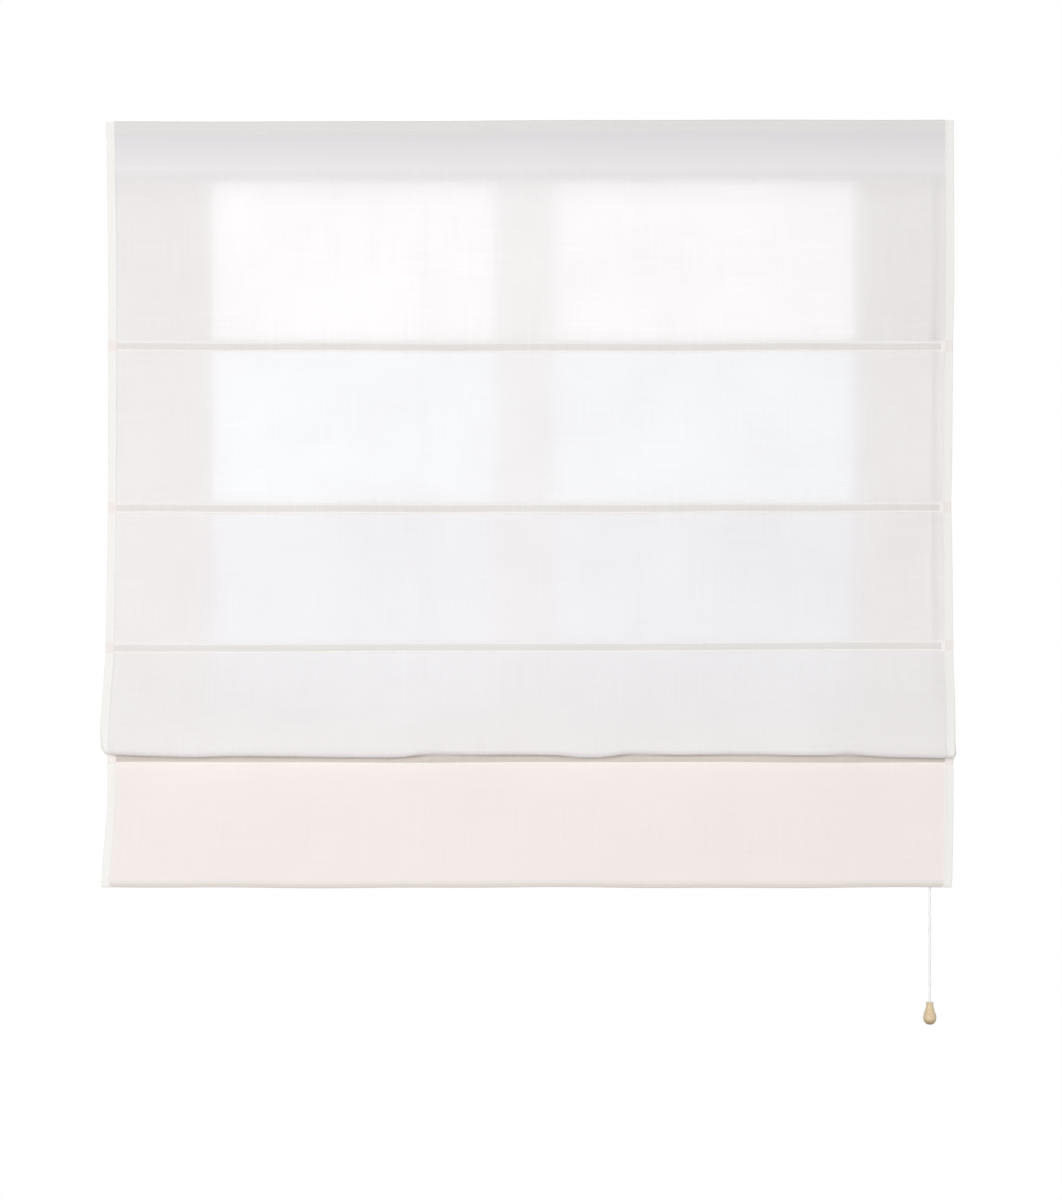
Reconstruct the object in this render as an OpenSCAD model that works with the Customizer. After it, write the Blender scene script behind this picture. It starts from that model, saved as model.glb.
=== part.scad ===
// Roman blind: a semi-sheer cloth hung by hook and loop from a slim headrail, with rods in
// sewn pockets, lift cords, a cord lock and a pull cord that ends in a turned acorn.
// Millimetres. X runs along the rail, Y into the wall and Z up. The wall is the plane y = 0,
// and the origin lies midway between the two wall screw holes.

/* [Cloth] */
// Finished width of the cloth
cloth_w = 1400; // [1000:10:1800]
// Thickness of one layer of cloth
cloth_t = 0.8; // [0.5:0.1:1]
// Width of the turned hem along each side
side_hem_w = 13; // [8:1:18]
// Cloth from the top edge to the first rod
panel_1_h = 372; // [320:1:420]
// Cloth from the first rod to the second
panel_2_h = 266; // [200:1:320]
// Cloth from the second rod to the third
panel_3_h = 231; // [180:1:300]
// Height from the third rod to the fourth, with the fold between them drawn up
panel_4_drop = 186; // [160:1:230]
// How far the drawn-up fold stands forward of the fourth rod
fold_reach = 36; // [26:1:46]
// Radius of the fold's round nose
fold_nose_r = 9; // [6:0.5:12]
// Radius where the fold turns down into the bottom hem
fold_turn_r = 3; // [2:0.5:5]
// Height of the doubled bottom hem, from the fourth rod to the bottom edge
hem_h = 210; // [150:1:260]
// How far the bottom edge swings forward of the fourth rod
hem_flare = 16; // [4:1:24]

/* [Rods] */
// Diameter of a rod
rod_d = 5; // [4:0.5:6]
// Height of a sewn rod pocket
pocket_h = 12; // [11:0.5:16]
// How far the cloth swells forward over a rod, between the pocket's two seams
pocket_swell = 1.2; // [0.4:0.1:2]
// How far each rod stops short of its pocket's end
rod_short = 4; // [1:1:10]
// Height of the weight bar in the bottom hem
bar_h = 24; // [16:1:32]
// Thickness of the weight bar
bar_t = 3; // [2:0.5:4]

/* [Headrail] */
// Depth of the headrail, front to back
rail_d = 25; // [23:1:30]
// Height of the headrail
rail_h = 28; // [27:1:34]
// Wall of the extrusion
rail_wall = 1.4; // [1:0.1:1.6]
// How far each end of the rail stops short of the cloth's edge
rail_inset = 5; // [3:0.5:6]
// Opening between the lips of the cord channel
channel_slot_w = 15.4; // [14.6:0.2:16]
// Opening between the lips of the bracket slot on top
clip_slot_w = 11; // [9:0.5:13]
// Clear height of the bracket slot
clip_slot_h = 3.2; // [2.6:0.2:4]
// Thickness of an end cap's plate
cap_t = 2; // [1:0.5:2.5]
// Depth of an end cap's plug
cap_plug_l = 5; // [3:0.5:5]
// Height of the hook tape and of the loop tape
tape_h = 20; // [16:1:24]
// Thickness of the hook tape
hook_tape_t = 1.6; // [1:0.1:2.4]
// Thickness of the loop tape
loop_tape_t = 1.4; // [1:0.1:2.4]

/* [Brackets] */
// Distance of each wall screw from the cloth's edge
screw_inset = 150; // [100:10:300]
// Diameter of a wall screw hole
screw_hole_d = 4.5; // [3.5:0.1:5.5]
// Height of the rail above the screw holes
screw_drop = 7; // [5:0.5:12]
// Length of the bracket's foot below the screw holes
bracket_foot = 12; // [8:1:20]
// Width of a bracket along the rail
bracket_w = 24; // [16:1:36]
// Thickness of the bracket's steel
bracket_t = 2; // [1.5:0.1:2.5]
// Diameter of the rivet between bracket and clip
rivet_d = 4; // [3:0.5:5]

/* [Cords] */
// Diameter of a lift cord
lift_cord_d = 1.4; // [1.2:0.1:1.6]
// Distance of the outer lift cords from the cloth's edges
cord_inset = 169; // [120:1:220]
// Outside diameter of a cord ring
ring_d = 11; // [9:0.5:13]
// Thickness of a ring's wire
ring_wire_d = 1.6; // [1.2:0.1:2]
// Diameter of a cord tie
tie_d = 8; // [6:0.5:10]
// Height of a cord tie
tie_h = 14; // [10:1:18]
// Height of a cord guide inside the rail
guide_h = 2.6; // [2:0.2:4]
// Bore of a cord guide
guide_bore_d = 4; // [3:0.5:5]

/* [Cord lock] */
// Distance of the pull cord from the cloth's right edge
pull_inset = 36; // [36:1:60]
// Diameter of the pulley's groove
pulley_d = 10; // [8:0.5:11]
// Diameter of the pulley's pin
pin_d = 3; // [2:0.5:4]
// Diameter of the locking roller
roller_d = 8; // [6:0.5:10]
// Diameter of the roller's axle
axle_d = 3; // [2:0.5:4]
// Travel of the roller along its slots
roller_travel = 6; // [4:0.5:8]
// Depth that the lock hangs below the rail
lock_drop = 38; // [32:1:46]
// Width of the lock along the rail
lock_w = 40; // [38:1:40]
// Wall of the lock's housing
lock_wall = 1.5; // [1:0.1:2]

/* [Pull] */
// Diameter of the pull cord
pull_cord_d = 4; // [2:0.2:5]
// Diameter of the cord joiner
joiner_d = 10; // [9:0.5:11]
// Length of the cord joiner
joiner_h = 30; // [24:1:40]
// Diameter of the acorn
acorn_d = 22; // [18:1:26]
// Height of the acorn
acorn_h = 36; // [28:1:46]

/* [Hidden] */
$fn = 48;

cloth_color = "linen";
plastic_color = "whitesmoke";
metal_color = "silver";
cord_color = "white";
wood_color = "burlywood";

// Clearance between pieces that seat in one another
fit = 0.3;
// Room between the cloth and what it lies on
soft_gap = 0.3;
// Clearance of a pin in its hole
pin_gap = 0.05;
// Overrun of cuts past the faces they open
over = 1;

// Headrail
rail_bottom = screw_drop;
rail_top = rail_bottom + rail_h;
rail_back_y = -bracket_t - fit;
rail_front_y = rail_back_y - rail_d;
rail_mid_y = (rail_back_y + rail_front_y) / 2;
rail_len = cloth_w - 2 * rail_inset;
screw_spacing = cloth_w - 2 * screw_inset;
inner_d = rail_d - 2 * rail_wall;
clip_floor = rail_top - rail_wall - clip_slot_h;
channel_bottom = rail_bottom + rail_wall;
channel_top = clip_floor - rail_wall;
channel_mid = (channel_bottom + channel_top) / 2;

// Cloth: y of its middle surface at the head, and z of its edges
cloth_top = rail_top + bracket_t;
head_band_bottom = cloth_top - bracket_t - tape_h;
head_turn_r = (cloth_t + soft_gap) / 2;
head_back_y = rail_front_y - hook_tape_t - loop_tape_t - soft_gap - cloth_t / 2;
head_y = head_back_y - 2 * head_turn_r;
strip_len = cloth_w - 2 * (side_hem_w + soft_gap);

// Rods: height, and how far forward the cloth hangs at each as a share of the fold's reach
rod_1_z = cloth_top - panel_1_h;
rod_2_z = rod_1_z - panel_2_h;
rod_3_z = rod_2_z - panel_3_h;
rod_4_z = rod_3_z - panel_4_drop;
rod_zs = [rod_1_z, rod_2_z, rod_3_z, rod_4_z];
rod_reach_shares = [-0.055, -0.08, 0.055, 0];
rod_ys = [for (share = rod_reach_shares) head_y - share * fold_reach];

// Pockets stand behind the cloth, and rings and ties behind the pockets
tube_r = rod_d / 2 + fit;
pocket_r = tube_r + cloth_t;
pocket_front_ys = [for (y = rod_ys) y + cloth_t / 2 + soft_gap];
rod_axis_ys = [for (y = pocket_front_ys) y + pocket_r];
pocket_back_ys = [for (y = rod_axis_ys) y + pocket_r];
band_steps = 6;
pocket_flank = 60;
pocket_flank_share = 0.97;
ring_ys = [for (y = pocket_back_ys) y + fit + ring_d / 2];
tie_y = pocket_back_ys[3] + fit + tie_d / 2;

// Fold: handles of its front curve as shares of its drop and of its reach
fold_y = rod_ys[3] - fold_reach;
shelf_z = rod_4_z + pocket_h / 2 + fold_turn_r;
nose_at = [fold_y + fold_nose_r, shelf_z + fold_nose_r];
fold_start = [rod_ys[2], rod_3_z - pocket_h / 2];
fold_drop = fold_start[1] - nose_at[1];
fold_drop_shares = [0.35, 0.34];
fold_lean_share = 0.15;

// Bottom hem: a tilted run from the fourth rod, wrapped round the weight bar
wrap_r = bar_t / 2 + soft_gap + cloth_t / 2;
hem_at = [rod_ys[3], rod_4_z - pocket_h / 2];
hem_run = hem_h - pocket_h / 2 - wrap_r - cloth_t / 2;
hem_tilt = asin(hem_flare / hem_run);
hem_back_n = 2 * cloth_t + soft_gap;
hem_seam_s = 2 * cloth_t;

// Lift cords: places along the rail, and lanes side by side over the pulley
cord_count = 4;
cord_pitch = (cloth_w - 2 * cord_inset) / (cord_count - 1);
cord_xs = [for (i = [0 : cord_count - 1]) cord_inset - cloth_w / 2 + i * cord_pitch];
lane_pitch_share = 1.5;
lane_pitch = lane_pitch_share * lift_cord_d;
lane_ys = [for (i = [0 : cord_count - 1]) rail_mid_y + (i - (cord_count - 1) / 2) * lane_pitch];
cord_sides = 8;
cord_bend_share = 3;
cord_bend_r = cord_bend_share * lift_cord_d;
guide_top = channel_bottom + guide_h;
guide_flange_t = rail_wall;
guide_flange_r = channel_slot_w / 2 + rail_wall;
lane_z = guide_top + cord_bend_r;
knot_share = 1.8;
knot_h = 2 * lift_cord_d;

// Cord lock: cords come along the rail, over the pulley and down past the roller
drop_x = cloth_w / 2 - pull_inset;
cord_turn_r = pulley_d / 2 + fit + lift_cord_d / 2;
pulley_x = drop_x - cord_turn_r;
pulley_z = lane_z - cord_turn_r;
pulley_flange_r = cord_turn_r + lift_cord_d / 2 + fit;
pulley_flange_t = 0.8;
lock_d = channel_slot_w - 2 * fit;
lock_hollow_d = lock_d - 2 * lock_wall;
lock_left = pulley_x - pulley_flange_r - 2 * lock_wall;
lock_right = lock_left + lock_w;
lock_bottom = rail_bottom - lock_drop;
lock_top = pulley_z + pulley_flange_r + fit + lock_wall;
lock_corner_r = 4;
jaw_x = drop_x - lift_cord_d / 2 - fit;
jaw_top = pulley_z - pulley_flange_r - fit;
jaw_tooth = 0.8;
jaw_teeth = 8;
chamber_right = lock_right - 2 * lock_wall;
roller_height_share = 0.3;
roller_slope = 60;
roller_at = [drop_x + lift_cord_d / 2 + fit + roller_d / 2,
             lock_bottom + roller_height_share * lock_drop];
roller_teeth = 18;
roller_tooth = 0.5;

// Pull cord: places below the lock's mouth, from the joiner to the knot in the acorn
pull_route = [[0, 0, -320], [0, 0, -330], [0, 0, -340], [0, 0, -360], [0, 0, -400], [0, 0, -480],
              [0, 0, -560], [0, 0, -640], [0, 0, -720], [0, 0, -800], [0, 0, -880], [0, 0, -960],
              [0, 0, -1040], [0, 0, -1120], [0, 0, -1200], [0, 0, -1280], [0, 0, -1360],
              [0, 0, -1410], [0, 0, -1440], [0, 0, -1452]];
pull_at = [drop_x, rail_mid_y, 0];
pull_start = pull_route[0];
pull_end = pull_route[len(pull_route) - 1];
pull_bore_r = pull_cord_d / 2 + fit;
joiner_top = pull_start[2] + joiner_h / 2;
joiner_bore_share = 1.7;
joiner_bore_r = joiner_bore_share * lift_cord_d;
joiner_web = 3;
bundle_share = 0.7;
bundle_r = bundle_share * lift_cord_d;
acorn_recess_d = 9;
acorn_recess_h = 8;
acorn_bottom = pull_end[2] - acorn_recess_h;
acorn_top = acorn_bottom + acorn_h;
pull_knot_share = 1.7;

// Turned outlines, as shares of height from the bottom and of the outer radius
acorn_shares = [[0, 0.47], [0.03, 0.6], [0.1, 0.8], [0.2, 0.96], [0.3, 1], [0.4, 0.97],
                [0.5, 0.88], [0.6, 0.77], [0.7, 0.66], [0.78, 0.58], [0.86, 0.55],
                [0.94, 0.555], [0.98, 0.575], [1, 0.53]];
joiner_shares = [[0, 0.72], [0.06, 0.92], [0.14, 1], [0.4, 1], [0.7, 0.84], [0.94, 0.66], [1, 0.58]];
tie_shares = [[0, 0.5], [0.08, 0.76], [0.22, 0.95], [0.38, 1], [0.56, 0.93], [0.76, 0.7], [1, 0.44]];

// Plane curves
function unit(v) = v / norm(v);
function arc(at, r, from, to, steps) =
    [for (i = [0 : steps]) let (a = from + (to - from) * i / steps) at + r * [cos(a), sin(a)]];
function bezier(p, steps) =
    [for (i = [0 : steps])
        let (t = i / steps, u = 1 - t)
        u * u * u * p[0] + 3 * u * u * t * p[1] + 3 * u * t * t * p[2] + t * t * t * p[3]];
function tail(list) = [for (i = [1 : len(list) - 1]) list[i]];
function back_to_front(list) = [for (i = [len(list) - 1 : -1 : 0]) list[i]];

// A path moved sideways by d, with mitred corners, and the ribbon between two such paths
function side(a, b) = let (d = unit(b - a)) [-d[1], d[0]];
function miter(path, i) =
    let (n0 = side(path[max(i - 1, 0)], path[max(i, 1)]),
         n1 = side(path[min(i, len(path) - 2)], path[min(i + 1, len(path) - 1)]),
         m = unit(n0 + n1))
    m / (m * n1);
function moved(path, d) = [for (i = [0 : len(path) - 1]) path[i] + d * miter(path, i)];
function ribbon(path, from, to) = concat(moved(path, from), back_to_front(moved(path, to)));

// The cloth's middle surface, as [y, z] from the head's turned edge to the hem's stitched edge
function hem_point(s, n) =
    hem_at + s * [-sin(hem_tilt), -cos(hem_tilt)] + n * [cos(hem_tilt), -sin(hem_tilt)];
function band_path(n) =
    [for (i = [0 : band_steps])
        [rod_ys[n] - pocket_swell * sin(180 * i / band_steps),
         rod_zs[n] + pocket_h * (1 / 2 - i / band_steps)]];
head_path = concat(
    [[head_back_y, head_band_bottom]],
    arc([head_back_y - head_turn_r, cloth_top - cloth_t / 2 - head_turn_r], head_turn_r, 0, 180, 6));
upper_path = concat([[head_y, head_band_bottom]], [for (n = [0 : 2]) each band_path(n)]);
fold_path = concat(
    bezier([fold_start,
            fold_start + [-fold_lean_share * fold_reach, -fold_drop_shares[0] * fold_drop],
            nose_at + [-fold_nose_r, fold_drop_shares[1] * fold_drop],
            nose_at + [-fold_nose_r, 0]], 14),
    tail(arc(nose_at, fold_nose_r, 180, 270, 8)),
    arc([rod_ys[3] - fold_turn_r, shelf_z - fold_turn_r], fold_turn_r, 90, 0, 5),
    tail(band_path(3)));
hem_back_path = concat(
    [for (p = tail(arc([0, 0], wrap_r, 0, 180, 8))) hem_point(hem_run + p[1], wrap_r - p[0])],
    [hem_point(hem_run - bar_h, 2 * wrap_r), hem_point(hem_seam_s, hem_back_n)]);
front_path = concat(upper_path, tail(fold_path), [hem_point(hem_run, 0)]);

// Shapes drawn in the y-z plane and drawn out along the rail
module along_x(length) {
    rotate([90, 0, 90]) linear_extrude(length, center = true) children();
}

// Shapes drawn in the x-z plane and drawn out across the rail
module across(depth) {
    translate([0, rail_mid_y, 0]) rotate([90, 0, 0]) linear_extrude(depth, center = true) children();
}

module box_2d(low, high) {
    translate(low) square(high - low);
}

// A bar with round ends, centred on the line from one point to the other
module slot_2d(from, to, width) {
    run = to - from;
    translate(from) circle(d = width);
    translate(to) circle(d = width);
    translate(from) rotate(atan2(run[1], run[0])) translate([0, -width / 2]) square([norm(run), width]);
}

// A turned piece: an outline of shares, scaled to its radius and height
module turned(shares, r, h) {
    outline = [for (s = shares) [s[1] * r, s[0] * h]];
    rotate_extrude() polygon(concat([[0, 0]], outline, [[0, h]]));
}

// A tube along places, each with its own radius
module cord_tube(places, radii) {
    count = len(places);
    rings = [for (i = [0 : count - 1])
        let (t = unit(places[min(i + 1, count - 1)] - places[max(i - 1, 0)]),
             n = unit([0, 1, 0] - t[1] * t),
             b = cross(t, n))
        for (k = [0 : cord_sides - 1])
            let (a = 360 * k / cord_sides)
            places[i] + radii[i] * (cos(a) * n + sin(a) * b)];
    sides = [for (i = [0 : count - 2], k = [0 : cord_sides - 1])
        let (a = i * cord_sides + k, b = i * cord_sides + (k + 1) % cord_sides)
        [a, a + cord_sides, b + cord_sides, b]];
    first = [for (k = [0 : cord_sides - 1]) k];
    last = [for (k = [cord_sides - 1 : -1 : 0]) (count - 1) * cord_sides + k];
    polyhedron(rings, concat(sides, [first, last]));
}

module headrail() color(metal_color) {
    along_x(rail_len) difference() {
        box_2d([rail_front_y, rail_bottom], [rail_back_y, rail_top]);
        box_2d([rail_mid_y - inner_d / 2, channel_bottom], [rail_mid_y + inner_d / 2, channel_top]);
        box_2d([rail_mid_y - inner_d / 2, clip_floor],
               [rail_mid_y + inner_d / 2, rail_top - rail_wall]);
        box_2d([rail_mid_y - channel_slot_w / 2, rail_bottom - over],
               [rail_mid_y + channel_slot_w / 2, channel_mid]);
        box_2d([rail_mid_y - clip_slot_w / 2, rail_top - rail_wall - over],
               [rail_mid_y + clip_slot_w / 2, rail_top + over]);
    }
}

// Cap with a plug that fills the cord channel; hand is -1 at the left end and 1 at the right
module end_cap(hand) color(plastic_color) {
    translate([hand * (rail_len + cap_t) / 2, 0, 0]) along_x(cap_t)
        box_2d([rail_front_y, rail_bottom], [rail_back_y, rail_top]);
    translate([hand * (rail_len - cap_plug_l) / 2, 0, 0]) along_x(cap_plug_l)
        box_2d([rail_mid_y - inner_d / 2 + fit, channel_bottom + fit],
               [rail_mid_y + inner_d / 2 - fit, channel_top - fit]);
}

// Bent steel bracket with a wall plate and an arm over the rail
module bracket(hand) color(metal_color) {
    arm_end_y = rail_front_y + 2 * bracket_t;
    profile = concat(
        [[0, -bracket_foot]],
        arc([-bracket_t, rail_top], bracket_t, 0, 90, 6),
        [[arm_end_y, rail_top + bracket_t], [arm_end_y, rail_top], [-bracket_t, rail_top],
         [-bracket_t, -bracket_foot]]);
    translate([hand * screw_spacing / 2, 0, 0]) difference() {
        along_x(bracket_w) polygon(profile);
        translate([0, over, 0]) rotate([90, 0, 0]) cylinder(d = screw_hole_d, h = bracket_t + 2 * over);
        translate([0, rail_mid_y, rail_top - over])
            cylinder(d = rivet_d + 2 * pin_gap, h = bracket_t + 2 * over);
    }
}

// Tee-shaped clip that holds the bracket's arm in the rail's top slot
module rail_clip(hand) color(plastic_color) {
    stem_w = clip_slot_w - 2 * fit;
    head_w = (clip_slot_w + inner_d) / 2;
    translate([hand * screw_spacing / 2, 0, 0]) difference() {
        along_x(bracket_w) union() {
            box_2d([rail_mid_y - stem_w / 2, clip_floor], [rail_mid_y + stem_w / 2, rail_top]);
            box_2d([rail_mid_y - head_w / 2, clip_floor],
                   [rail_mid_y + head_w / 2, rail_top - rail_wall - fit]);
        }
        translate([0, rail_mid_y, clip_floor - over])
            cylinder(d = rivet_d + 2 * pin_gap, h = rail_top - clip_floor + 2 * over);
    }
}

module clip_rivets() color(metal_color) {
    head_t = bracket_t / 2;
    for (hand = [-1, 1]) translate([hand * screw_spacing / 2, rail_mid_y, 0]) {
        translate([0, 0, clip_floor]) cylinder(d = rivet_d, h = cloth_top - clip_floor);
        translate([0, 0, cloth_top]) cylinder(d1 = 2 * rivet_d, d2 = rivet_d, h = head_t);
    }
}

module hook_tape() color(plastic_color) {
    along_x(strip_len) box_2d([rail_front_y - hook_tape_t, rail_top - tape_h], [rail_front_y, rail_top]);
}

module loop_tape() color(plastic_color) {
    front_y = rail_front_y - hook_tape_t - loop_tape_t;
    along_x(strip_len)
        box_2d([front_y, rail_top - tape_h], [rail_front_y - hook_tape_t, rail_top]);
}

// One cloth: its side profile drawn out to the full width, with doubled side hems
module fabric() color(cloth_color) {
    along_x(cloth_w)
        polygon(ribbon(concat(head_path, front_path, hem_back_path), -cloth_t / 2, cloth_t / 2));
    for (hand = [-1, 1]) translate([hand * (cloth_w - side_hem_w) / 2, 0, 0]) along_x(side_hem_w)
        polygon(ribbon(front_path, 0, cloth_t * 3 / 2));
}

// Flanged eyelet, sprung between the lips of the rail's cord channel
module cord_guide(i) color(plastic_color) {
    bore_r = guide_bore_d / 2;
    neck_r = channel_slot_w / 2 - fit;
    low = rail_bottom - guide_flange_t;
    mouth = guide_flange_t / 2;
    translate([cord_xs[i], rail_mid_y, 0]) rotate_extrude() polygon([
        [bore_r + mouth, low], [guide_flange_r - mouth, low], [guide_flange_r, low + mouth],
        [guide_flange_r, rail_bottom], [neck_r, rail_bottom], [neck_r, channel_bottom],
        [guide_flange_r, channel_bottom], [neck_r, guide_top], [bore_r + mouth, guide_top],
        [bore_r, guide_top - mouth], [bore_r, low + mouth]]);
}

// Moulded housing: two cheeks, a toothed jaw on the left and a chamber for the roller
module cord_lock_housing() color(plastic_color) {
    roller_end = roller_at + roller_travel * [cos(roller_slope), sin(roller_slope)];
    shoulder_d = inner_d - 2 * fit;
    tooth_pitch = (jaw_top - lock_bottom) / jaw_teeth;
    difference() {
        union() {
            across(lock_d) {
                box_2d([lock_left, lock_bottom + lock_corner_r], [lock_right, lock_top]);
                slot_2d([lock_left + lock_corner_r, lock_bottom + lock_corner_r],
                        [lock_right - lock_corner_r, lock_bottom + lock_corner_r], 2 * lock_corner_r);
            }
            across(shoulder_d)
                box_2d([lock_left, channel_bottom], [lock_right, channel_bottom + lock_wall]);
        }
        across(lock_hollow_d) {
            box_2d([lock_left - over, jaw_top], [chamber_right, lock_top - lock_wall]);
            box_2d([jaw_x, lock_bottom - over], [chamber_right, jaw_top + over]);
            for (i = [1 : jaw_teeth - 1])
                translate([jaw_x, lock_bottom + i * tooth_pitch]) rotate(45) square(jaw_tooth, center = true);
        }
        across(lock_d + 2 * over) {
            slot_2d(roller_at, roller_end, axle_d + 2 * fit);
            translate([pulley_x, pulley_z]) circle(d = pin_d + 2 * pin_gap);
        }
    }
}

module pulley_pin() color(metal_color) {
    across(lock_d) translate([pulley_x, pulley_z]) circle(d = pin_d);
}

// Grooved wheel, wide enough for the lift cords side by side
module lock_pulley() color(plastic_color) {
    half_w = lock_hollow_d / 2 - fit;
    groove_half_w = half_w - pulley_flange_t;
    bore_r = pin_d / 2 + pin_gap;
    translate([pulley_x, rail_mid_y, pulley_z]) rotate([90, 0, 0]) rotate_extrude() polygon([
        [bore_r, -half_w], [pulley_flange_r, -half_w], [pulley_flange_r, -groove_half_w],
        [pulley_d / 2, -groove_half_w], [pulley_d / 2, groove_half_w],
        [pulley_flange_r, groove_half_w], [pulley_flange_r, half_w], [bore_r, half_w]]);
}

// Knurled roller on its axle
module lock_roller() color(metal_color) {
    knurl = [for (i = [0 : 2 * roller_teeth - 1])
        let (a = 180 * i / roller_teeth, r = roller_d / 2 - (i % 2) * roller_tooth)
        roller_at + r * [cos(a), sin(a)]];
    across(lock_hollow_d - 2 * fit) polygon(knurl);
    across(lock_d - 2 * fit) translate(roller_at) circle(d = axle_d);
}

// From the knot under its tie, up through the rings and its guide, along the rail, over the
// pulley and down into the joiner
module lift_cord(i) color(cord_color) {
    x = cord_xs[i];
    bundle = [(i % 2) * 2 - 1, floor(i / 2) * 2 - 1] * bundle_r;
    knot_top = rod_4_z - tie_h / 2 - fit;
    up = [[x, tie_y, knot_top - knot_h], [x, tie_y, knot_top - knot_h * 3 / 4],
          [x, tie_y, knot_top - knot_h / 4], [x, tie_y, knot_top], [x, tie_y, rod_4_z],
          [x, tie_y, rod_4_z + tie_h],
          for (n = [2 : -1 : 0]) [x, ring_ys[n], rod_zs[n]],
          [x, rail_mid_y, rail_bottom - 2 * guide_flange_t]];
    bend = [for (a = [0 : 18 : 90])
        [x + cord_bend_r * (1 - cos(a)), rail_mid_y + (lane_ys[i] - rail_mid_y) * a / 90,
         guide_top + cord_bend_r * sin(a)]];
    turn = [for (a = [90 : -15 : 0])
        [pulley_x + cord_turn_r * cos(a), lane_ys[i], pulley_z + cord_turn_r * sin(a)]];
    down = [[drop_x, lane_ys[i], lock_bottom],
            [drop_x + bundle[0], rail_mid_y + bundle[1], joiner_top + joiner_h / 2],
            [drop_x + bundle[0], rail_mid_y + bundle[1], joiner_top],
            [drop_x + bundle[0], rail_mid_y + bundle[1], joiner_top - joiner_h / 4]];
    places = concat(up, bend, turn, down);
    knot_shares = [1 / 2, knot_share, knot_share, 1];
    cord_tube(places, [for (k = [0 : len(places) - 1])
        lift_cord_d / 2 * (k < len(knot_shares) ? knot_shares[k] : 1)]);
}

module rod(n) color(plastic_color) {
    translate([0, rod_axis_ys[n], rod_zs[n]]) rotate([0, 90, 0])
        cylinder(d = rod_d, h = strip_len - 2 * rod_short, center = true);
}

// Strip sewn to the back of the cloth, standing off round its rod
module rod_pocket(n) color(cloth_color) {
    flank = pocket_flank_share * pocket_r * [cos(pocket_flank), sin(pocket_flank)];
    translate([0, pocket_front_ys[n], rod_zs[n]]) along_x(strip_len) difference() {
        union() {
            polygon([[0, -pocket_h / 2], [cloth_t, -pocket_h / 2], [pocket_r + flank[0], -flank[1]],
                     [pocket_r + flank[0], flank[1]], [cloth_t, pocket_h / 2], [0, pocket_h / 2]]);
            translate([pocket_r, 0]) circle(r = pocket_r);
        }
        translate([pocket_r, 0]) circle(r = tube_r);
    }
}

module rings(n) color(plastic_color) {
    for (x = cord_xs) translate([x, ring_ys[n], rod_zs[n]]) rotate_extrude()
        translate([(ring_d - ring_wire_d) / 2, 0]) circle(d = ring_wire_d);
}

// Bead that the lift cord is knotted under, carried by the fourth rod pocket
module cord_tie(i) color(plastic_color) {
    translate([cord_xs[i], tie_y, rod_4_z - tie_h / 2]) difference() {
        turned(tie_shares, tie_d / 2, tie_h);
        translate([0, 0, -over]) cylinder(d = lift_cord_d + 2 * fit, h = tie_h + 2 * over);
    }
}

module bottom_bar() color(metal_color) {
    low = hem_point(hem_run, wrap_r);
    high = hem_point(hem_run - bar_h + bar_t, wrap_r);
    along_x(strip_len - 2 * rod_short) slot_2d(low, high, bar_t);
}

// Bead that joins the lift cords, above, to the pull cord, below
module cord_joiner() color(plastic_color) {
    translate([pull_at[0], pull_at[1], joiner_top - joiner_h]) difference() {
        turned(joiner_shares, joiner_d / 2, joiner_h);
        translate([0, 0, -over]) cylinder(r = pull_bore_r, h = joiner_h / 2 + over);
        translate([0, 0, joiner_h / 2 + joiner_web]) cylinder(r = joiner_bore_r, h = joiner_h);
    }
}

module pull_cord() color(cord_color) {
    last = len(pull_route) - 1;
    knot = [for (d = [3, 1]) pull_end + [0, 0, -d * pull_cord_d / 4]];
    places = concat(pull_route, [knot[1], knot[0]]);
    translate(pull_at) cord_tube(places, [for (k = [0 : len(places) - 1])
        pull_cord_d / 2 * (k > last ? pull_knot_share : 1)]);
}

// Turned wooden pull, bored for the cord and recessed for its knot
module acorn() color(wood_color) {
    translate([pull_at[0], pull_at[1], acorn_bottom]) difference() {
        turned(acorn_shares, acorn_d / 2, acorn_h);
        translate([0, 0, -over]) cylinder(r = pull_bore_r, h = acorn_h + 2 * over);
        translate([0, 0, -over]) cylinder(d = acorn_recess_d, h = acorn_recess_h + over);
    }
}

headrail();
end_cap(-1);  // end_cap_left
end_cap(1);  // end_cap_right
bracket(-1);  // bracket_left
bracket(1);  // bracket_right
rail_clip(-1);  // rail_clip_left
rail_clip(1);  // rail_clip_right
clip_rivets();
hook_tape();
loop_tape();
fabric();
cord_guide(0);  // cord_guide_1
cord_guide(1);  // cord_guide_2
cord_guide(2);  // cord_guide_3
cord_guide(3);  // cord_guide_4
cord_lock_housing();
pulley_pin();
lock_pulley();
lock_roller();
lift_cord(0);  // lift_cord_1
lift_cord(1);  // lift_cord_2
lift_cord(2);  // lift_cord_3
lift_cord(3);  // lift_cord_4
rod(0);  // rod_1
rod(1);  // rod_2
rod(2);  // rod_3
rod(3);  // rod_4
rod_pocket(0);  // rod_pocket_1
rod_pocket(1);  // rod_pocket_2
rod_pocket(2);  // rod_pocket_3
rod_pocket(3);  // rod_pocket_4
rings(0);  // rings_1
rings(1);  // rings_2
rings(2);  // rings_3
cord_tie(0);  // cord_tie_1
cord_tie(1);  // cord_tie_2
cord_tie(2);  // cord_tie_3
cord_tie(3);  // cord_tie_4
bottom_bar();
cord_joiner();
pull_cord();
acorn();
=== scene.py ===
import math

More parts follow.
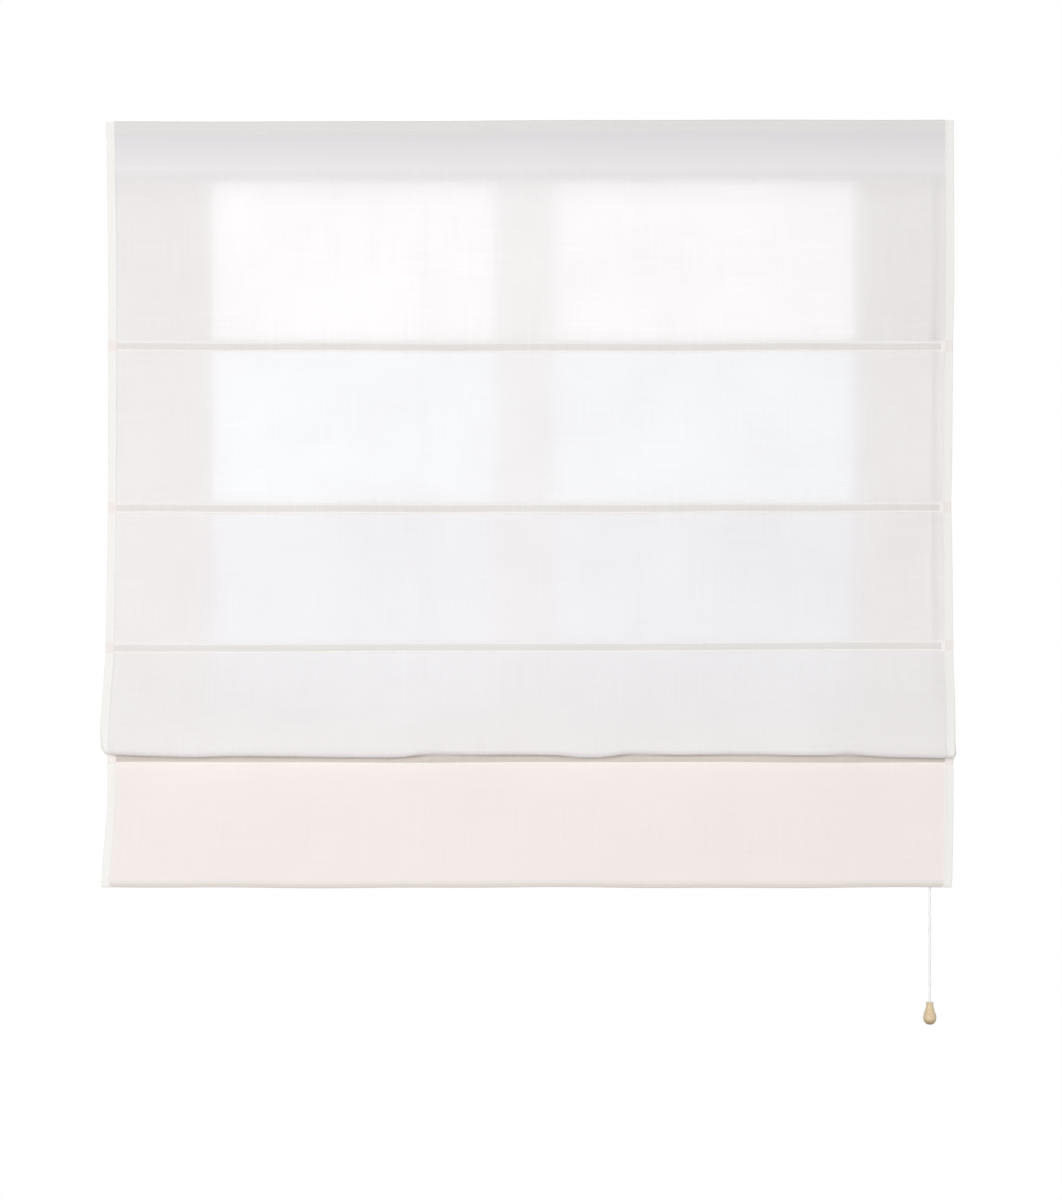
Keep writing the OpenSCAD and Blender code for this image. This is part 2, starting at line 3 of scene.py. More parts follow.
import bpy
import numpy as np
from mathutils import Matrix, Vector


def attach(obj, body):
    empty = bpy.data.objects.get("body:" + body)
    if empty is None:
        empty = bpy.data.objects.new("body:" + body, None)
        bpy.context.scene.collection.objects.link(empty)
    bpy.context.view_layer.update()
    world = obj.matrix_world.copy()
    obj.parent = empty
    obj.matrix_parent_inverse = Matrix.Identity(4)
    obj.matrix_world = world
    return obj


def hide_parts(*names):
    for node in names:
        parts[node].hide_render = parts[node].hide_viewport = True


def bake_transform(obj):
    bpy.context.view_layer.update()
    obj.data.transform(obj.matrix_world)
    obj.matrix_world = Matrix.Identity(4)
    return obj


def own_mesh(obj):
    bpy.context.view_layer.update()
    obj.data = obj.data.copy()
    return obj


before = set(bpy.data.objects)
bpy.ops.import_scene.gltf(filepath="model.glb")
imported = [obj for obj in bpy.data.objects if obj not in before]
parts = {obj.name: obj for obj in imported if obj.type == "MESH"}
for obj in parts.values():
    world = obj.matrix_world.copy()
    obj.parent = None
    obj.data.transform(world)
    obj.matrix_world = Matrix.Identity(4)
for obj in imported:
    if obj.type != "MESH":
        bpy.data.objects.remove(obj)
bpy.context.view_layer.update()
print("stage: frame loaded,", len(parts), "nodes")


# small helpers for shader trees, meshes and placing
def srgb(r, g, b):
    return tuple((c / 255 / 12.92 if c < 11 else ((c / 255 + 0.055) / 1.055) ** 2.4) for c in (r, g, b)) + (1.0,)


def newMaterial(name):
    made = bpy.data.materials.new(name)
    made.use_nodes = True
    made.node_tree.nodes.clear()
    return made, made.node_tree


def addNode(tree, kind, settings=None, inputs=None):
    made = tree.nodes.new(kind)
    for key, value in (settings or {}).items():
        setattr(made, key, value)
    for key, value in (inputs or {}).items():
        if isinstance(value, bpy.types.NodeSocket):
            tree.links.new(value, made.inputs[key])
        else:
            made.inputs[key].default_value = value
    return made


def node(tree, kind, settings=None, inputs=None):
    return addNode(tree, "ShaderNode" + kind, settings, inputs)


def calc(tree, operation, a, b=0.0, c=0.0):
    return node(tree, "Math", {"operation": operation}, {0: a, 1: b, 2: c}).outputs[0]


def blendColours(tree, share, a, b):
    return node(tree, "MixRGB", {}, {"Fac": share, "Color1": a, "Color2": b}).outputs[0]


def noise(tree, vector, stretch, detail=3.0):
    placed = node(tree, "Mapping", {}, {"Vector": vector, "Scale": stretch}).outputs[0]
    return node(tree, "TexNoise", {}, {"Vector": placed, "Scale": 1.0, "Detail": detail, "Roughness": 0.55}).outputs[0]


def ramp(tree, value, low, high, toLow=0.0, toHigh=1.0):
    return node(tree, "MapRange", {}, {0: value, 1: low, 2: high, 3: toLow, 4: toHigh}).outputs[0]


def bump(tree, height, strength, distance):
    return node(tree, "Bump", {}, {"Height": height, "Strength": strength, "Distance": distance}).outputs[0]


def surface(tree, shader):
    node(tree, "OutputMaterial", {}, {"Surface": shader})


def principled(tree, sockets):
    surface(tree, node(tree, "BsdfPrincipled", {}, sockets).outputs[0])


def ownPlace(tree):
    return node(tree, "TexCoord").outputs["Object"]


def meshObject(name, verts, faces, uvs=None, material=None):
    mesh = bpy.data.meshes.new(name)
    mesh.from_pydata([tuple(v) for v in verts], [], [tuple(f) for f in faces])
    mesh.polygons.foreach_set("use_smooth", [True] * len(mesh.polygons))
    if uvs is not None:
        layer = mesh.uv_layers.new(name="cut")
        corner = np.empty(len(mesh.loops), dtype=np.int32)
        mesh.loops.foreach_get("vertex_index", corner)
        layer.data.foreach_set("uv", np.asarray(uvs, dtype=np.float32)[corner].ravel())
    made = bpy.data.objects.new(name, mesh)
    bpy.context.scene.collection.objects.link(made)
    for one in material if isinstance(material, (list, tuple)) else [material]:
        if one is not None:
            mesh.materials.append(one)
    return made


def smoothstep(t):
    t = np.clip(t, 0, 1)
    return t * t * (3 - 2 * t)


def runAlong(points):
    # how far along a line each of its points is
    steps = np.diff(np.asarray(points, float), axis=0)
    return np.concatenate([[0], np.cumsum(np.linalg.norm(steps, axis=1))])


def wave(x, length, phase=0.0):
    return np.sin(math.tau * x / length + phase)


# camera first, at the photograph's viewing angle
viewpoint = {"x": 0.0017, "z": -0.7556, "y": -3.532, "lens": 63.52, "sensor": 36.0}
camData = bpy.data.cameras.new("viewCamera")
camData.lens = viewpoint["lens"]
camData.sensor_width = viewpoint["sensor"]
camData.clip_end = 60
cam = bpy.data.objects.new("viewCamera", camData)
cam.location = (viewpoint["x"], viewpoint["y"], viewpoint["z"])
cam.rotation_euler = (math.radians(90), 0, 0)
bpy.context.scene.collection.objects.link(cam)
bpy.context.scene.camera = cam
bpy.context.scene.view_settings.view_transform = "Standard"

# studio: a pale floor disc, a white surround for the camera, softboxes in front and behind, and a close glow
studio = {"floorZ": -2.05, "floorR": 1.0, "floorSides": 96, "fade": (0.30, 0.97), "ambient": 0.32, "aim": (0, 0, -0.75),
          # each softbox: place, size and power
          "boxes": {"key": ((-2.2, -5.5, -0.3), 1.2, 197.0), "fill": ((3.2, -5.0, -0.3), 1.2, 77.0),
                    "behind": ((-0.6, 3.4, -1.1), 2.4, 74.0)},
          # the glow behind the cloth: columns of (x, width, share), rows of (z, height, brightness, colour)
          "glowY": -0.018, "glowColumns": ((-0.292, 0.466, 1.0), (-0.0085, 0.099, 0.40), (0.290, 0.498, 1.0)),
          "glowRows": ((-0.195, 0.264, 0.60, (0.84, 0.96, 1.0)), (-0.465, 0.26, 0.48, (0.50, 0.84, 1.0)),
                       (-0.775, 0.34, 0.22, (0.22, 0.66, 1.0)))}


def makeStudio():
    world = bpy.data.worlds.new("softRoom")
    world.use_nodes = True
    tree = world.node_tree
    tree.nodes.clear()
    path = node(tree, "LightPath")
    seen = calc(tree, "MAXIMUM", path.outputs["Is Camera Ray"], path.outputs["Is Glossy Ray"])
    clear = calc(tree, "SUBTRACT", path.outputs["Is Transmission Ray"], path.outputs["Is Diffuse Ray"])
    seen = calc(tree, "MAXIMUM", seen, clear)
    tone = blendColours(tree, seen, (studio["ambient"],) * 3 + (1,), (1, 1, 1, 1))
    back = node(tree, "Background", {}, {"Color": tone, "Strength": 1.0})
    node(tree, "OutputWorld", {}, {"Surface": back.outputs[0]})
    bpy.context.scene.world = world

    made, tree = newMaterial("paleFloor")
    place, radius = ownPlace(tree), studio["floorR"]
    reach = node(tree, "VectorMath", {"operation": "LENGTH"}, {0: place}).outputs["Value"]
    fade = ramp(tree, reach, *(share * radius for share in studio["fade"]), 0.5, 1.0)
    grain = ramp(tree, noise(tree, place, (9, 9, 9)), 0.3, 0.7, 0.90, 0.93)
    grey = node(tree, "CombineColor", {}, {0: grain, 1: grain, 2: grain}).outputs[0]
    plain = node(tree, "BsdfDiffuse", {}, {"Color": grey})
    glow = node(tree, "Emission", {}, {"Color": (1, 1, 1, 1), "Strength": 1.0})
    rays = node(tree, "LightPath").outputs
    white = calc(tree, "MULTIPLY", fade, calc(tree, "MAXIMUM", rays["Is Camera Ray"], rays["Is Glossy Ray"]))
    surface(tree, node(tree, "MixShader", {}, {0: white, 1: plain.outputs[0], 2: glow.outputs[0]}).outputs[0])
    count = studio["floorSides"]
    rim = [(radius * math.cos(math.tau * i / count), radius * math.sin(math.tau * i / count), 0) for i in range(count)]
    floor = meshObject("studio_floor", rim, [list(range(count))], material=made)
    floor.location = (0, 0, studio["floorZ"])

    def softbox(name, place, aim, size, power, colour=(1, 1, 1)):
        lampData = bpy.data.lights.new(name, "AREA")
        lampData.shape = "RECTANGLE"
        lampData.size, lampData.size_y = size
        lampData.energy = power
        lampData.color = colour
        lamp = bpy.data.objects.new(name, lampData)
        lamp.location = place
        lamp.rotation_euler = (Vector(aim) - Vector(place)).to_track_quat("-Z", "Y").to_euler()
        lamp.visible_camera = False
        lamp.visible_glossy = False
        bpy.context.scene.collection.objects.link(lamp)

    for name, (place, size, power) in studio["boxes"].items():
        softbox(name, place, studio["aim"], (size, size), power)
    y = studio["glowY"]
    for x, wide, share in studio["glowColumns"]:
        for z, high, bright, colour in studio["glowRows"]:
            softbox("back", (x, y, z), (x, -1, z), (wide, high), math.pi * wide * high * bright * share, colour)


makeStudio()
print("stage: camera and studio")

# cloth finishes: a plain weave with slubs, lit from both sides
weave = {"pitch": 0.0008, "depth": 0.00022, "slubX": 520.0, "slubLong": 7.0}


def clothMaterial(name, pale, deep, through, paintedShade=None):
    made, tree = newMaterial(name)
    cut = node(tree, "UVMap", {"uv_map": "cut"}).outputs[0]
    side, run = node(tree, "SeparateXYZ", {}, {0: cut}).outputs[:2]
    across, down = (calc(tree, "SINE", calc(tree, "MULTIPLY", way, math.pi / weave["pitch"])) for way in (side, run))
    over = ramp(tree, calc(tree, "MULTIPLY", across, down), -0.35, 0.35)
    lie = node(tree, "Mix", {"data_type": "FLOAT"},
               {0: over, 2: calc(tree, "ABSOLUTE", down), 3: calc(tree, "ABSOLUTE", across)})
    warp = noise(tree, cut, (weave["slubX"], weave["slubLong"], 1), 2.0)
    weft = noise(tree, cut, (weave["slubLong"], weave["slubX"], 1), 2.0)
    mottle = noise(tree, cut, (5.0, 5.0, 1), 2.0)
    slub = calc(tree, "ADD", warp, weft)
    tone = calc(tree, "ADD", ramp(tree, slub, 0.72, 1.28, 0.0, 0.62), ramp(tree, mottle, 0.3, 0.7, 0.0, 0.38))
    colour = blendColours(tree, tone, srgb(*deep), srgb(*pale))
    # painted shade: the cloth darkens towards the head, where the rail behind it shades it
    if paintedShade:
        shadeShare = calc(tree, "MULTIPLY", ramp(tree, run, *paintedShade["run"], paintedShade["share"], 0.0),
                    ramp(tree, run, *paintedShade["dense"], 1.0, paintedShade["thin"]))
        colour = blendColours(tree, shadeShare, colour, srgb(*paintedShade["colour"]))
        through = ramp(tree, run, *paintedShade["dense"], paintedShade["through"], through)
    height = calc(tree, "ADD", lie.outputs[0], calc(tree, "MULTIPLY", slub, 0.8))
    normal = bump(tree, height, 0.22, weave["depth"])
    woven = node(tree, "BsdfPrincipled", {}, {
        "Base Color": colour, "Roughness": ramp(tree, slub, 0.7, 1.3, 0.95, 0.8), "Sheen Weight": 0.08,
        "Sheen Roughness": 0.6, "Specular IOR Level": 0.15, "Normal": normal})
    lit = node(tree, "BsdfTranslucent", {}, {"Color": colour, "Normal": normal})
    surface(tree, node(tree, "MixShader", {}, {0: through, 1: woven.outputs[0], 2: lit.outputs[0]}).outputs[0])
    return made


# under the head the first panel is denser, and darker with painted shade from the rail behind it; the runs are along
# the cloth
headPaintedShade = {"run": (0.02, 0.14), "share": 0.95, "colour": (225, 223, 225), "dense": (0.080, 0.104), "thin": 0.3,
            "through": 0.08}
# each finish: pale and deep tone, and the share of light that goes through
clothTones = {"sheer": ((252, 250, 250), (247, 244, 244), 0.50),
              # top: the sheer cloth with painted shade under the head
              "top": ((251, 249, 249), (246, 243, 243), 0.50, headPaintedShade),
              # the two hem tones after the plain hem are painted shade along the bottom edge
              "hem": ((248, 241, 237), (244, 236, 232), 0.08), "hemLowShade": ((242, 236, 231), (237, 230, 225), 0.08),
              # fold: the sheer cloth a little darker, with painted shade of the layers behind it
              "hemEdgeShade": ((233, 224, 217), (228, 219, 212), 0.08), "fold": ((250, 248, 248), (245, 242, 242), 0.40),
              # head: darker, with painted shade of the rail and tape behind it; lip: a paler double layer, with a
              # painted highlight along its fold
              "head": ((233, 231, 230), (227, 225, 224), 0.08), "lip": ((255, 251, 247), (250, 246, 242), 0.08),
              "edge": ((250, 248, 245), (245, 243, 239), 0.08), "seam": ((250, 248, 247), (245, 242, 241), 0.08),
              # band: darker, with painted shade of the rod and pocket behind it; lowBand: darker still, with painted
              # shadow of the fold above it
              "band": ((238, 235, 233), (230, 226, 224), 0.10), "lowBand": ((220, 210, 202), (211, 201, 193), 0.10),
              "pocket": ((246, 243, 240), (236, 232, 228), 0.30)}
clothFinish = {kind: clothMaterial(kind + "Cloth", *tones) for kind, tones in clothTones.items()}


def threadMaterial(name, pale, deep):
    made, tree = newMaterial(name)
    place = ownPlace(tree)
    twist = noise(tree, place, (2600, 2600, 2600), 1.0)
    fleck = noise(tree, place, (60, 60, 60), 2.0)
    colour = blendColours(tree, ramp(tree, calc(tree, "ADD", twist, fleck), 0.7, 1.3), srgb(*deep), srgb(*pale))
    principled(tree, {"Base Color": colour, "Roughness": ramp(tree, twist, 0.3, 0.7, 0.6, 0.85), "Sheen Weight": 0.1,
                      "Normal": bump(tree, twist, 0.4, 0.0001)})
    return made


sewingThread = threadMaterial("sewingThread", (250, 248, 245), (238, 234, 229))


def braidMaterial(name, pale, deep, turns, pitch):
    made, tree = newMaterial(name)
    cut = node(tree, "UVMap", {"uv_map": "cut"}).outputs[0]
    split = node(tree, "SeparateXYZ", {}, {0: cut}).outputs
    girth = calc(tree, "MULTIPLY", split[0], math.tau * turns)
    along = calc(tree, "MULTIPLY", split[1], math.tau / pitch)
    left, right = (calc(tree, "ABSOLUTE", calc(tree, "SINE", calc(tree, way, girth, along)))
                   for way in ("ADD", "SUBTRACT"))
    height = calc(tree, "MAXIMUM", left, right)
    fleck = noise(tree, cut, (3, 240, 1), 2.0)
    # the grooves between the strands are deeper in tone: painted shade
    tone = calc(tree, "ADD", ramp(tree, height, 0.6, 1.0, 0.0, 0.6), ramp(tree, fleck, 0.3, 0.7, 0.0, 0.4))
    principled(tree, {"Base Color": blendColours(tree, tone, srgb(*deep), srgb(*pale)), "Sheen Weight": 0.12,
                      "Roughness": ramp(tree, height, 0.5, 1.0, 0.85, 0.6), "Normal": bump(tree, height, 0.5, 0.0003)})
    return made


liftBraid = braidMaterial("liftBraid", (247, 246, 243), (214, 211, 205), 2.0, 0.0034)
pullBraid = braidMaterial("pullBraid", (254, 254, 253), (240, 239, 237), 2.0, 0.0064)
print("stage: cloth, thread and cord finishes")

# the cloth's middle surface, from the turned head to the bottom edge, as rows of (y, z)
cloth = {"half": 0.7, "thick": 0.0008, "sideHem": 0.0122, "edgeStitch": 0.0016, "turn": 0.00055, "top": 0.037,
         "topSlant": 0.0018, "headY": -0.0321, "headBottom": 0.015, "headStep": 0.0008, "headFlat": (1.4, 0.046),
         "headInset": 0.001, "rodZ": (-0.335, -0.601, -0.832, -1.018), "rodY": (-0.03012, -0.02922, -0.03408, -0.0321),
         "bandHalf": 0.009, "strip": (0.0042, -0.0062), "lips": (0.0058, -0.0073), "lipWide": 0.0015, "lipHigh": 0.0013,
         "lipSharp": 1.6, "swell": 0.0005, "bandEnd": (0.683, 0.6745), "bandFade": 0.0035, "stripEnd": 0.6805,
         "lipEnd": -0.0085, "nose": (-0.0591, -1.0), "noseR": 0.009, "turnR": 0.003, "lean": 0.15, "drop": (0.35, 0.34),
         "reach": 0.036, "foldSteps": (22, 10), "shelfStep": 0.006, "lowBand": (0.006, 0.004, -0.006),
         "hemAt": (-0.0321, -1.024), "hemRun": 0.2030, "hemWide": 1.42, "tilt": math.asin(16 / 201.4), "wrapR": 0.0022,
         "bar": 0.024, "hemBack": 0.0019, "hemSeam": 0.0056, "rowStep": 0.008}
# columns of the cloth: even ones, close ones at the lift cords and at the side hems, and those of plain strips
columns = {"step": 0.008, "atCord": (-0.022, 0.0221, 0.002), "apart": 0.0011, "plain": 173,
           "atEdge": (0.6745, 0.676, 0.678, 0.6805, 0.6835, 0.685, 0.6862, 0.6868, 0.6873, 0.6878, 0.6885, 0.6895,
                      0.6915, 0.693, 0.6945, 0.6957, 0.6968, 0.698, 0.6988)}
cordX = (-0.531, -0.177, 0.177, 0.531)


def lipShape(offset, at):
    return cloth["lipHigh"] * np.exp(-((offset - at) / cloth["lipWide"]) ** 2 * cloth["lipSharp"])


def bandShape(offset):
    # forward lift of a rod band: two folded lips beside a nearly flat strip
    upper, lower = cloth["strip"]
    lips = sum(lipShape(offset, at) for at in cloth["lips"])
    strip = cloth["swell"] * np.cos(np.clip((2 * offset - upper - lower) / (upper - lower), -1, 1) * math.pi / 2)
    return -(lips + strip)


def arc(centre, r, start, stop, steps):
    return [(centre[0] + r * math.cos(math.radians(start + (stop - start) * i / steps)),
             centre[1] + r * math.sin(math.radians(start + (stop - start) * i / steps))) for i in range(steps + 1)]


def straight(a, b, step):
    count = max(2, round(math.dist(a, b) / step))
    return [(a[0] + (b[0] - a[0]) * i / count, a[1] + (b[1] - a[1]) * i / count) for i in range(count + 1)]


def bandRows(n):
    half, (upper, lower) = cloth["bandHalf"], cloth["strip"]
    offsets = np.concatenate([np.linspace(half, upper, 9), np.linspace(upper, lower, 8)[1:],
                              np.linspace(lower, -half, 8)[1:]])
    return [(cloth["rodY"][n] + bandShape(o), cloth["rodZ"][n] + o) for o in offsets]


def bezier(p, steps):
    rows = []
    for i in range(steps + 1):
        t, u = i / steps, 1 - i / steps
        shares = (u ** 3, 3 * u * u * t, 3 * u * t * t, t ** 3)
        rows.append(tuple(sum(share * point[k] for share, point in zip(shares, p)) for k in (0, 1)))
    return rows


def hemPoint(s, n):
    c, d = math.cos(cloth["tilt"]), math.sin(cloth["tilt"])
    return cloth["hemAt"][0] - s * d + n * c, cloth["hemAt"][1] - s * c - n * d


def headRows():
    # two sewn lines press the head in and out: (height, width, depth)
    creases = ((0.0304, 0.0008, 0.0005), (0.0163, 0.0009, -0.0008))
    top = (cloth["headY"], cloth["top"] - cloth["thick"] / 2 - cloth["turn"])
    rows = straight(top, (cloth["headY"], cloth["headBottom"]), cloth["headStep"])
    return [(y + sum(deep * math.exp(-((z - at) / wide) ** 2) for at, wide, deep in creases), z) for y, z in rows]


def foldRows():
    nose, r, turn = cloth["nose"], cloth["noseR"], cloth["turnR"]
    frontSteps, noseSteps = cloth["foldSteps"]
    start = (cloth["rodY"][2], cloth["rodZ"][2] - cloth["bandHalf"])
    fall = start[1] - nose[1]
    front = bezier([start, (start[0] - cloth["lean"] * cloth["reach"], start[1] - cloth["drop"][0] * fall),
                    (nose[0] - r, nose[1] + cloth["drop"][1] * fall), (nose[0] - r, nose[1])], frontSteps)
    under = arc(nose, r, 180, 270, noseSteps)[1:]
    shelfEnd = (cloth["rodY"][3] - turn, nose[1] - r)
    shelf = straight(under[-1], shelfEnd, cloth["shelfStep"])[1:]
    return front + under + shelf + arc((shelfEnd[0], shelfEnd[1] - turn), turn, 90, 0, 6)[1:]


def lowBandRows():
    rod, (above, ease, slantFrom) = cloth["rodZ"][3], cloth["lowBand"]
    top, middle, bottom = rod + above, rod + cloth["strip"][1], rod - cloth["bandHalf"]
    rows = []
    for z in np.concatenate([np.linspace(top, middle, 10), np.linspace(middle, bottom, 7)[1:]]):
        o = z - rod
        slant = max(0.0, slantFrom - o) * math.tan(cloth["tilt"])
        shape = bandShape(o) + lipShape(o, cloth["lips"][0])
        rows.append((cloth["rodY"][3] - slant + smoothstep((top - z) / ease) * shape, z))
    return rows


def hemRows():
    start = (r4 - gap - cloth["hemAt"][1]) / -math.cos(cloth["tilt"])
    rows = straight(hemPoint(start, 0), hemPoint(cloth["hemRun"] - hemShadeSteps[0], 0), cloth["rowStep"])
    return rows + [hemPoint(cloth["hemRun"] - d, 0) for d in lastRows]


r1, r2, r3, r4 = cloth["rodZ"]
y1, y2, y3, y4 = cloth["rodY"]
gap = cloth["bandHalf"]
# above the bottom edge: where painted shade deepens the hem's tone twice, and its last rows
hemShadeSteps = (0.009, 0.004)
lastRows = (0.007, 0.0055, hemShadeSteps[1], 0.0018, 0)
panelEnds = {"panel_1": ((cloth["headY"], cloth["headBottom"]), (y1, r1 + gap)),
             "panel_2": ((y1, r1 - gap), (y2, r2 + gap)), "panel_3": ((y2, r2 - gap), (y3, r3 + gap))}
stretches = {"head": headRows()}
for n in range(3):
    stretches[f"panel_{n + 1}"] = straight(*panelEnds[f"panel_{n + 1}"], cloth["rowStep"])
    stretches[f"band_{n + 1}"] = bandRows(n)
stretches.update({"fold": foldRows(), "band_4": lowBandRows(), "hem": hemRows()})
# where the left and right edges have drifted to, in mm, at a share of each stretch
driftSteps = {"head": ((1, 0.3, 0.2),), "panel_1": ((0.75, 3.2, 1.2), (1, 2.8, -0.6)), "band_1": ((1, 2.5, -0.8),),
              "panel_2": ((0.6, 2.5, -1.4), (1, 2.2, -3.6)), "band_2": ((1, 2.0, -3.2),),
              "panel_3": ((0.35, 1.6, -1.9), (1, -0.6, -1.2)), "band_3": ((1, -0.9, -1.0),),
              "fold": ((0.35, -2.9, -1.8), (0.72, -3.9, -4.4), (1, 2.4, -0.4)), "band_4": ((1, 2.4, -0.6),),
              "hem": ((0.35, 3.2, -2.0), (0.65, -0.8, -3.6), (1, -5.6, -5.8))}
drift, reached = {}, (0, 0)
for name, steps in driftSteps.items():
    drift[name] = ((0, *reached),) + steps  # each stretch starts where the last one ended
    reached = steps[-1][1:]
# waver of each seam's height: (amplitude in mm, wavelength in m, phase)
seamWaves = {"top": ((0.5, 1.05, 0.4), (0.25, 0.37, 1.1)), 0: ((0.8, 1.5, 4.71), (0.6, 0.37, 0.67)),
             1: ((0.9, 2.2, -1.0), (0.4, 0.31, 1.53)), 2: ((1.6, 2.4, -0.26), (0.5, 0.72, 2.97)),
             3: ((0.5, 0.80, 0.2), (0.3, 0.33, 1.9)), "bottom": ((0.6, 0.66, 1.4), (0.4, 0.27, 0.2))}
seamDrop = {0: 0.0012, 1: 0.0018, 2: 0.0006}
seamOf = {"head": ("top", "top"), "panel_1": ("top", 0), "band_1": (0, 0), "panel_2": (0, 1), "band_2": (1, 1),
          "panel_3": (1, 2), "band_3": (2, 2), "fold": (2, 3), "band_4": (3, 3), "hem": (3, "bottom")}
# the fold's hanging edge: (x in m, height in mm) from the left end, lifted at the lift cords
foldEdge = ((-0.70, -0.5), (-0.66, -2.2), (-0.61, -3.6), (-0.565, -5.2), (-0.545, -5.2), (-0.50, -3.6), (-0.45, -3.3),
            (-0.38, -4.0), (-0.30, -5.4), (-0.235, -5.8), (-0.205, -4.8), (-0.18, -1.0), (-0.157, 0.2), (-0.13, -0.6),
            (-0.08, -1.4), (-0.05, -1.2), (0.0, -0.8), (0.05, -1.8), (0.083, -5.4), (0.116, -5.4), (0.14, -2.6),
            (0.165, 0.8), (0.2, -0.5), (0.25, -1.5), (0.33, -0.4), (0.38, -0.6), (0.446, -2.3), (0.496, -1.8),
            (0.52, 0.6), (0.546, -1.8), (0.58, -4.4), (0.61, -5.2), (0.645, -6.0), (0.67, -6.6), (0.70, -6.6))
foldCorner = {"rise": (0.0068, 0.0045), "from": (0.6930, 0.6955), "soften": 0.0035, "lift": 0.001}
sideHem = {"inner": 0.6862, "step": 0.0011, "high": 0.0004, "ridge": 0.0005, "ridgeAt": 0.6876, "ridgeWide": 0.0009}


def hemLift(x):
    # forward step of the turned side hem, with a raised line along its stitches
    a = np.abs(x)
    return sideHem["high"] * smoothstep((a - sideHem["inner"]) / sideHem["step"]) + \
        sideHem["ridge"] * np.exp(-((a - sideHem["ridgeAt"]) / sideHem["ridgeWide"]) ** 2)


# where a lift cord draws the cloth up: width, crease, depth, the share of the hem that it fades over, and its phase
drawnUp = {"wide": 0.016, "crease": 0.0045, "deep": 0.00045, "fade": 0.16, "phase": 0.7, "phaseAlong": 1.2}


def pucker(x, phase):
    wide, crease = drawnUp["wide"], drawnUp["crease"]
    return sum(np.exp(-((x - c) / wide) ** 2) * np.sin((x - c) / crease + phase + 2 * c) for c in cordX)


def waver(seam, x):
    height = sum(0.001 * a * wave(x, length, phase) for a, length, phase in seamWaves[seam]) - seamDrop.get(seam, 0)
    return height + (cloth["topSlant"] * x / cloth["half"] if seam == "top" else 0)


def noseSag(x):
    # the fold's edge hangs between the lift cords, with each end's corner turned up
    at, high = np.array(foldEdge).T
    shifts = np.linspace(-2, 2, 17)
    weights = np.exp(-shifts ** 2)
    sag = sum(w * np.interp(x + d * foldCorner["soften"], at, high) for w, d in zip(weights, shifts)) / weights.sum()
    corner = np.zeros_like(x)
    for side, rise, start in zip((-1, 1), foldCorner["rise"], foldCorner["from"]):
        corner = corner + rise * smoothstep((side * x - start) / (cloth["half"] - start)) ** 2
    return corner + 0.001 * sag + foldCorner["lift"]


def clothColumns():
    half, r, inner = cloth["half"], cloth["turn"], cloth["half"] - cloth["sideHem"]
    flat = np.linspace(inner, half - r, 4)
    angles = np.radians(np.linspace(0, 180, 7))
    main = np.linspace(-(half - r), half - r, round(2 * (half - r) / columns["step"]) + 1)
    extra = [c + d for c in cordX for d in np.arange(*columns["atCord"])]
    extra += [side * d for side in (-1, 1) for d in columns["atEdge"]]
    even = [x for x in main if min(abs(x - e) for e in extra) > columns["apart"] or abs(x) > half - 2 * r]
    main = np.sort(np.array(even + extra))
    # right half of the turned edge: out along the back layer, round the edge, then the front layer
    sideX = np.concatenate([flat[:-1], half - r + r * np.sin(angles)])
    sideOff = np.concatenate([np.full(3, 2 * r), r * (1 + np.cos(angles))])
    xs = np.concatenate([-sideX, main[1:-1], sideX[::-1]])
    offs = np.concatenate([sideOff, np.zeros(len(main) - 2), sideOff[::-1]])
    return xs, offs, runAlong(np.stack([xs, offs], axis=1))


def allRows():
    rows, names, shares, spans = [], [], [], {}
    for name, points in stretches.items():
        run = runAlong(points)
        skip = 1 if rows else 0  # the first row is the last one of the stretch above
        first = len(rows) - skip
        rows += points[skip:]
        names += [name] * (len(points) - skip)
        shares += list(run[skip:] / run[-1])
        spans[name] = (first, len(rows) - 1)
    return np.array(rows), names, np.array(shares), spans


pathRows, rowNames, rowShares, rowSpans = allRows()
foldTip = rowSpans["fold"][0] + sum(cloth["foldSteps"])
rowPlain = np.array([cloth["rodY"][int(n[-1]) - 1] if n in ("band_1", "band_2", "band_3") else y
                     for n, (y, z) in zip(rowNames, pathRows)])
pathRun = runAlong(pathRows)
pathTangent = np.gradient(pathRows, axis=0)
pathTangent /= np.linalg.norm(pathTangent, axis=1)[:, None]
pathBack = np.stack([-pathTangent[:, 1], pathTangent[:, 0]], axis=1)
colX, colOff, colU = clothColumns()


# slack of the flat stretches: order, depth, waves along it, and the share of its length that swells
slackOf = {"panel_1": (0, 0.0014, 7, 1), "panel_2": (1, 0.0013, 5, 1), "panel_3": (2, 0.0013, 4, 1),
           "hem": (3, 0.0016, 3, 0.86)}
# how that slack lies across: waves of (share, wavelength, phase by order, phase along it), and a fine bent ripple
sway = {"waves": ((1, 0.47, 1.3, 1.1), (0.6, 0.21, 2.1, -0.9)), "ripple": 0.00045, "bend": 1.5, "bendLong": 0.8}
# the fold's own waves of (depth, wavelength, phase), and how far its sagging edge draws back
foldSway = {"waves": ((0.0016, 0.52, 0.7), (0.0009, 0.23, 0.0)), "back": 0.35}


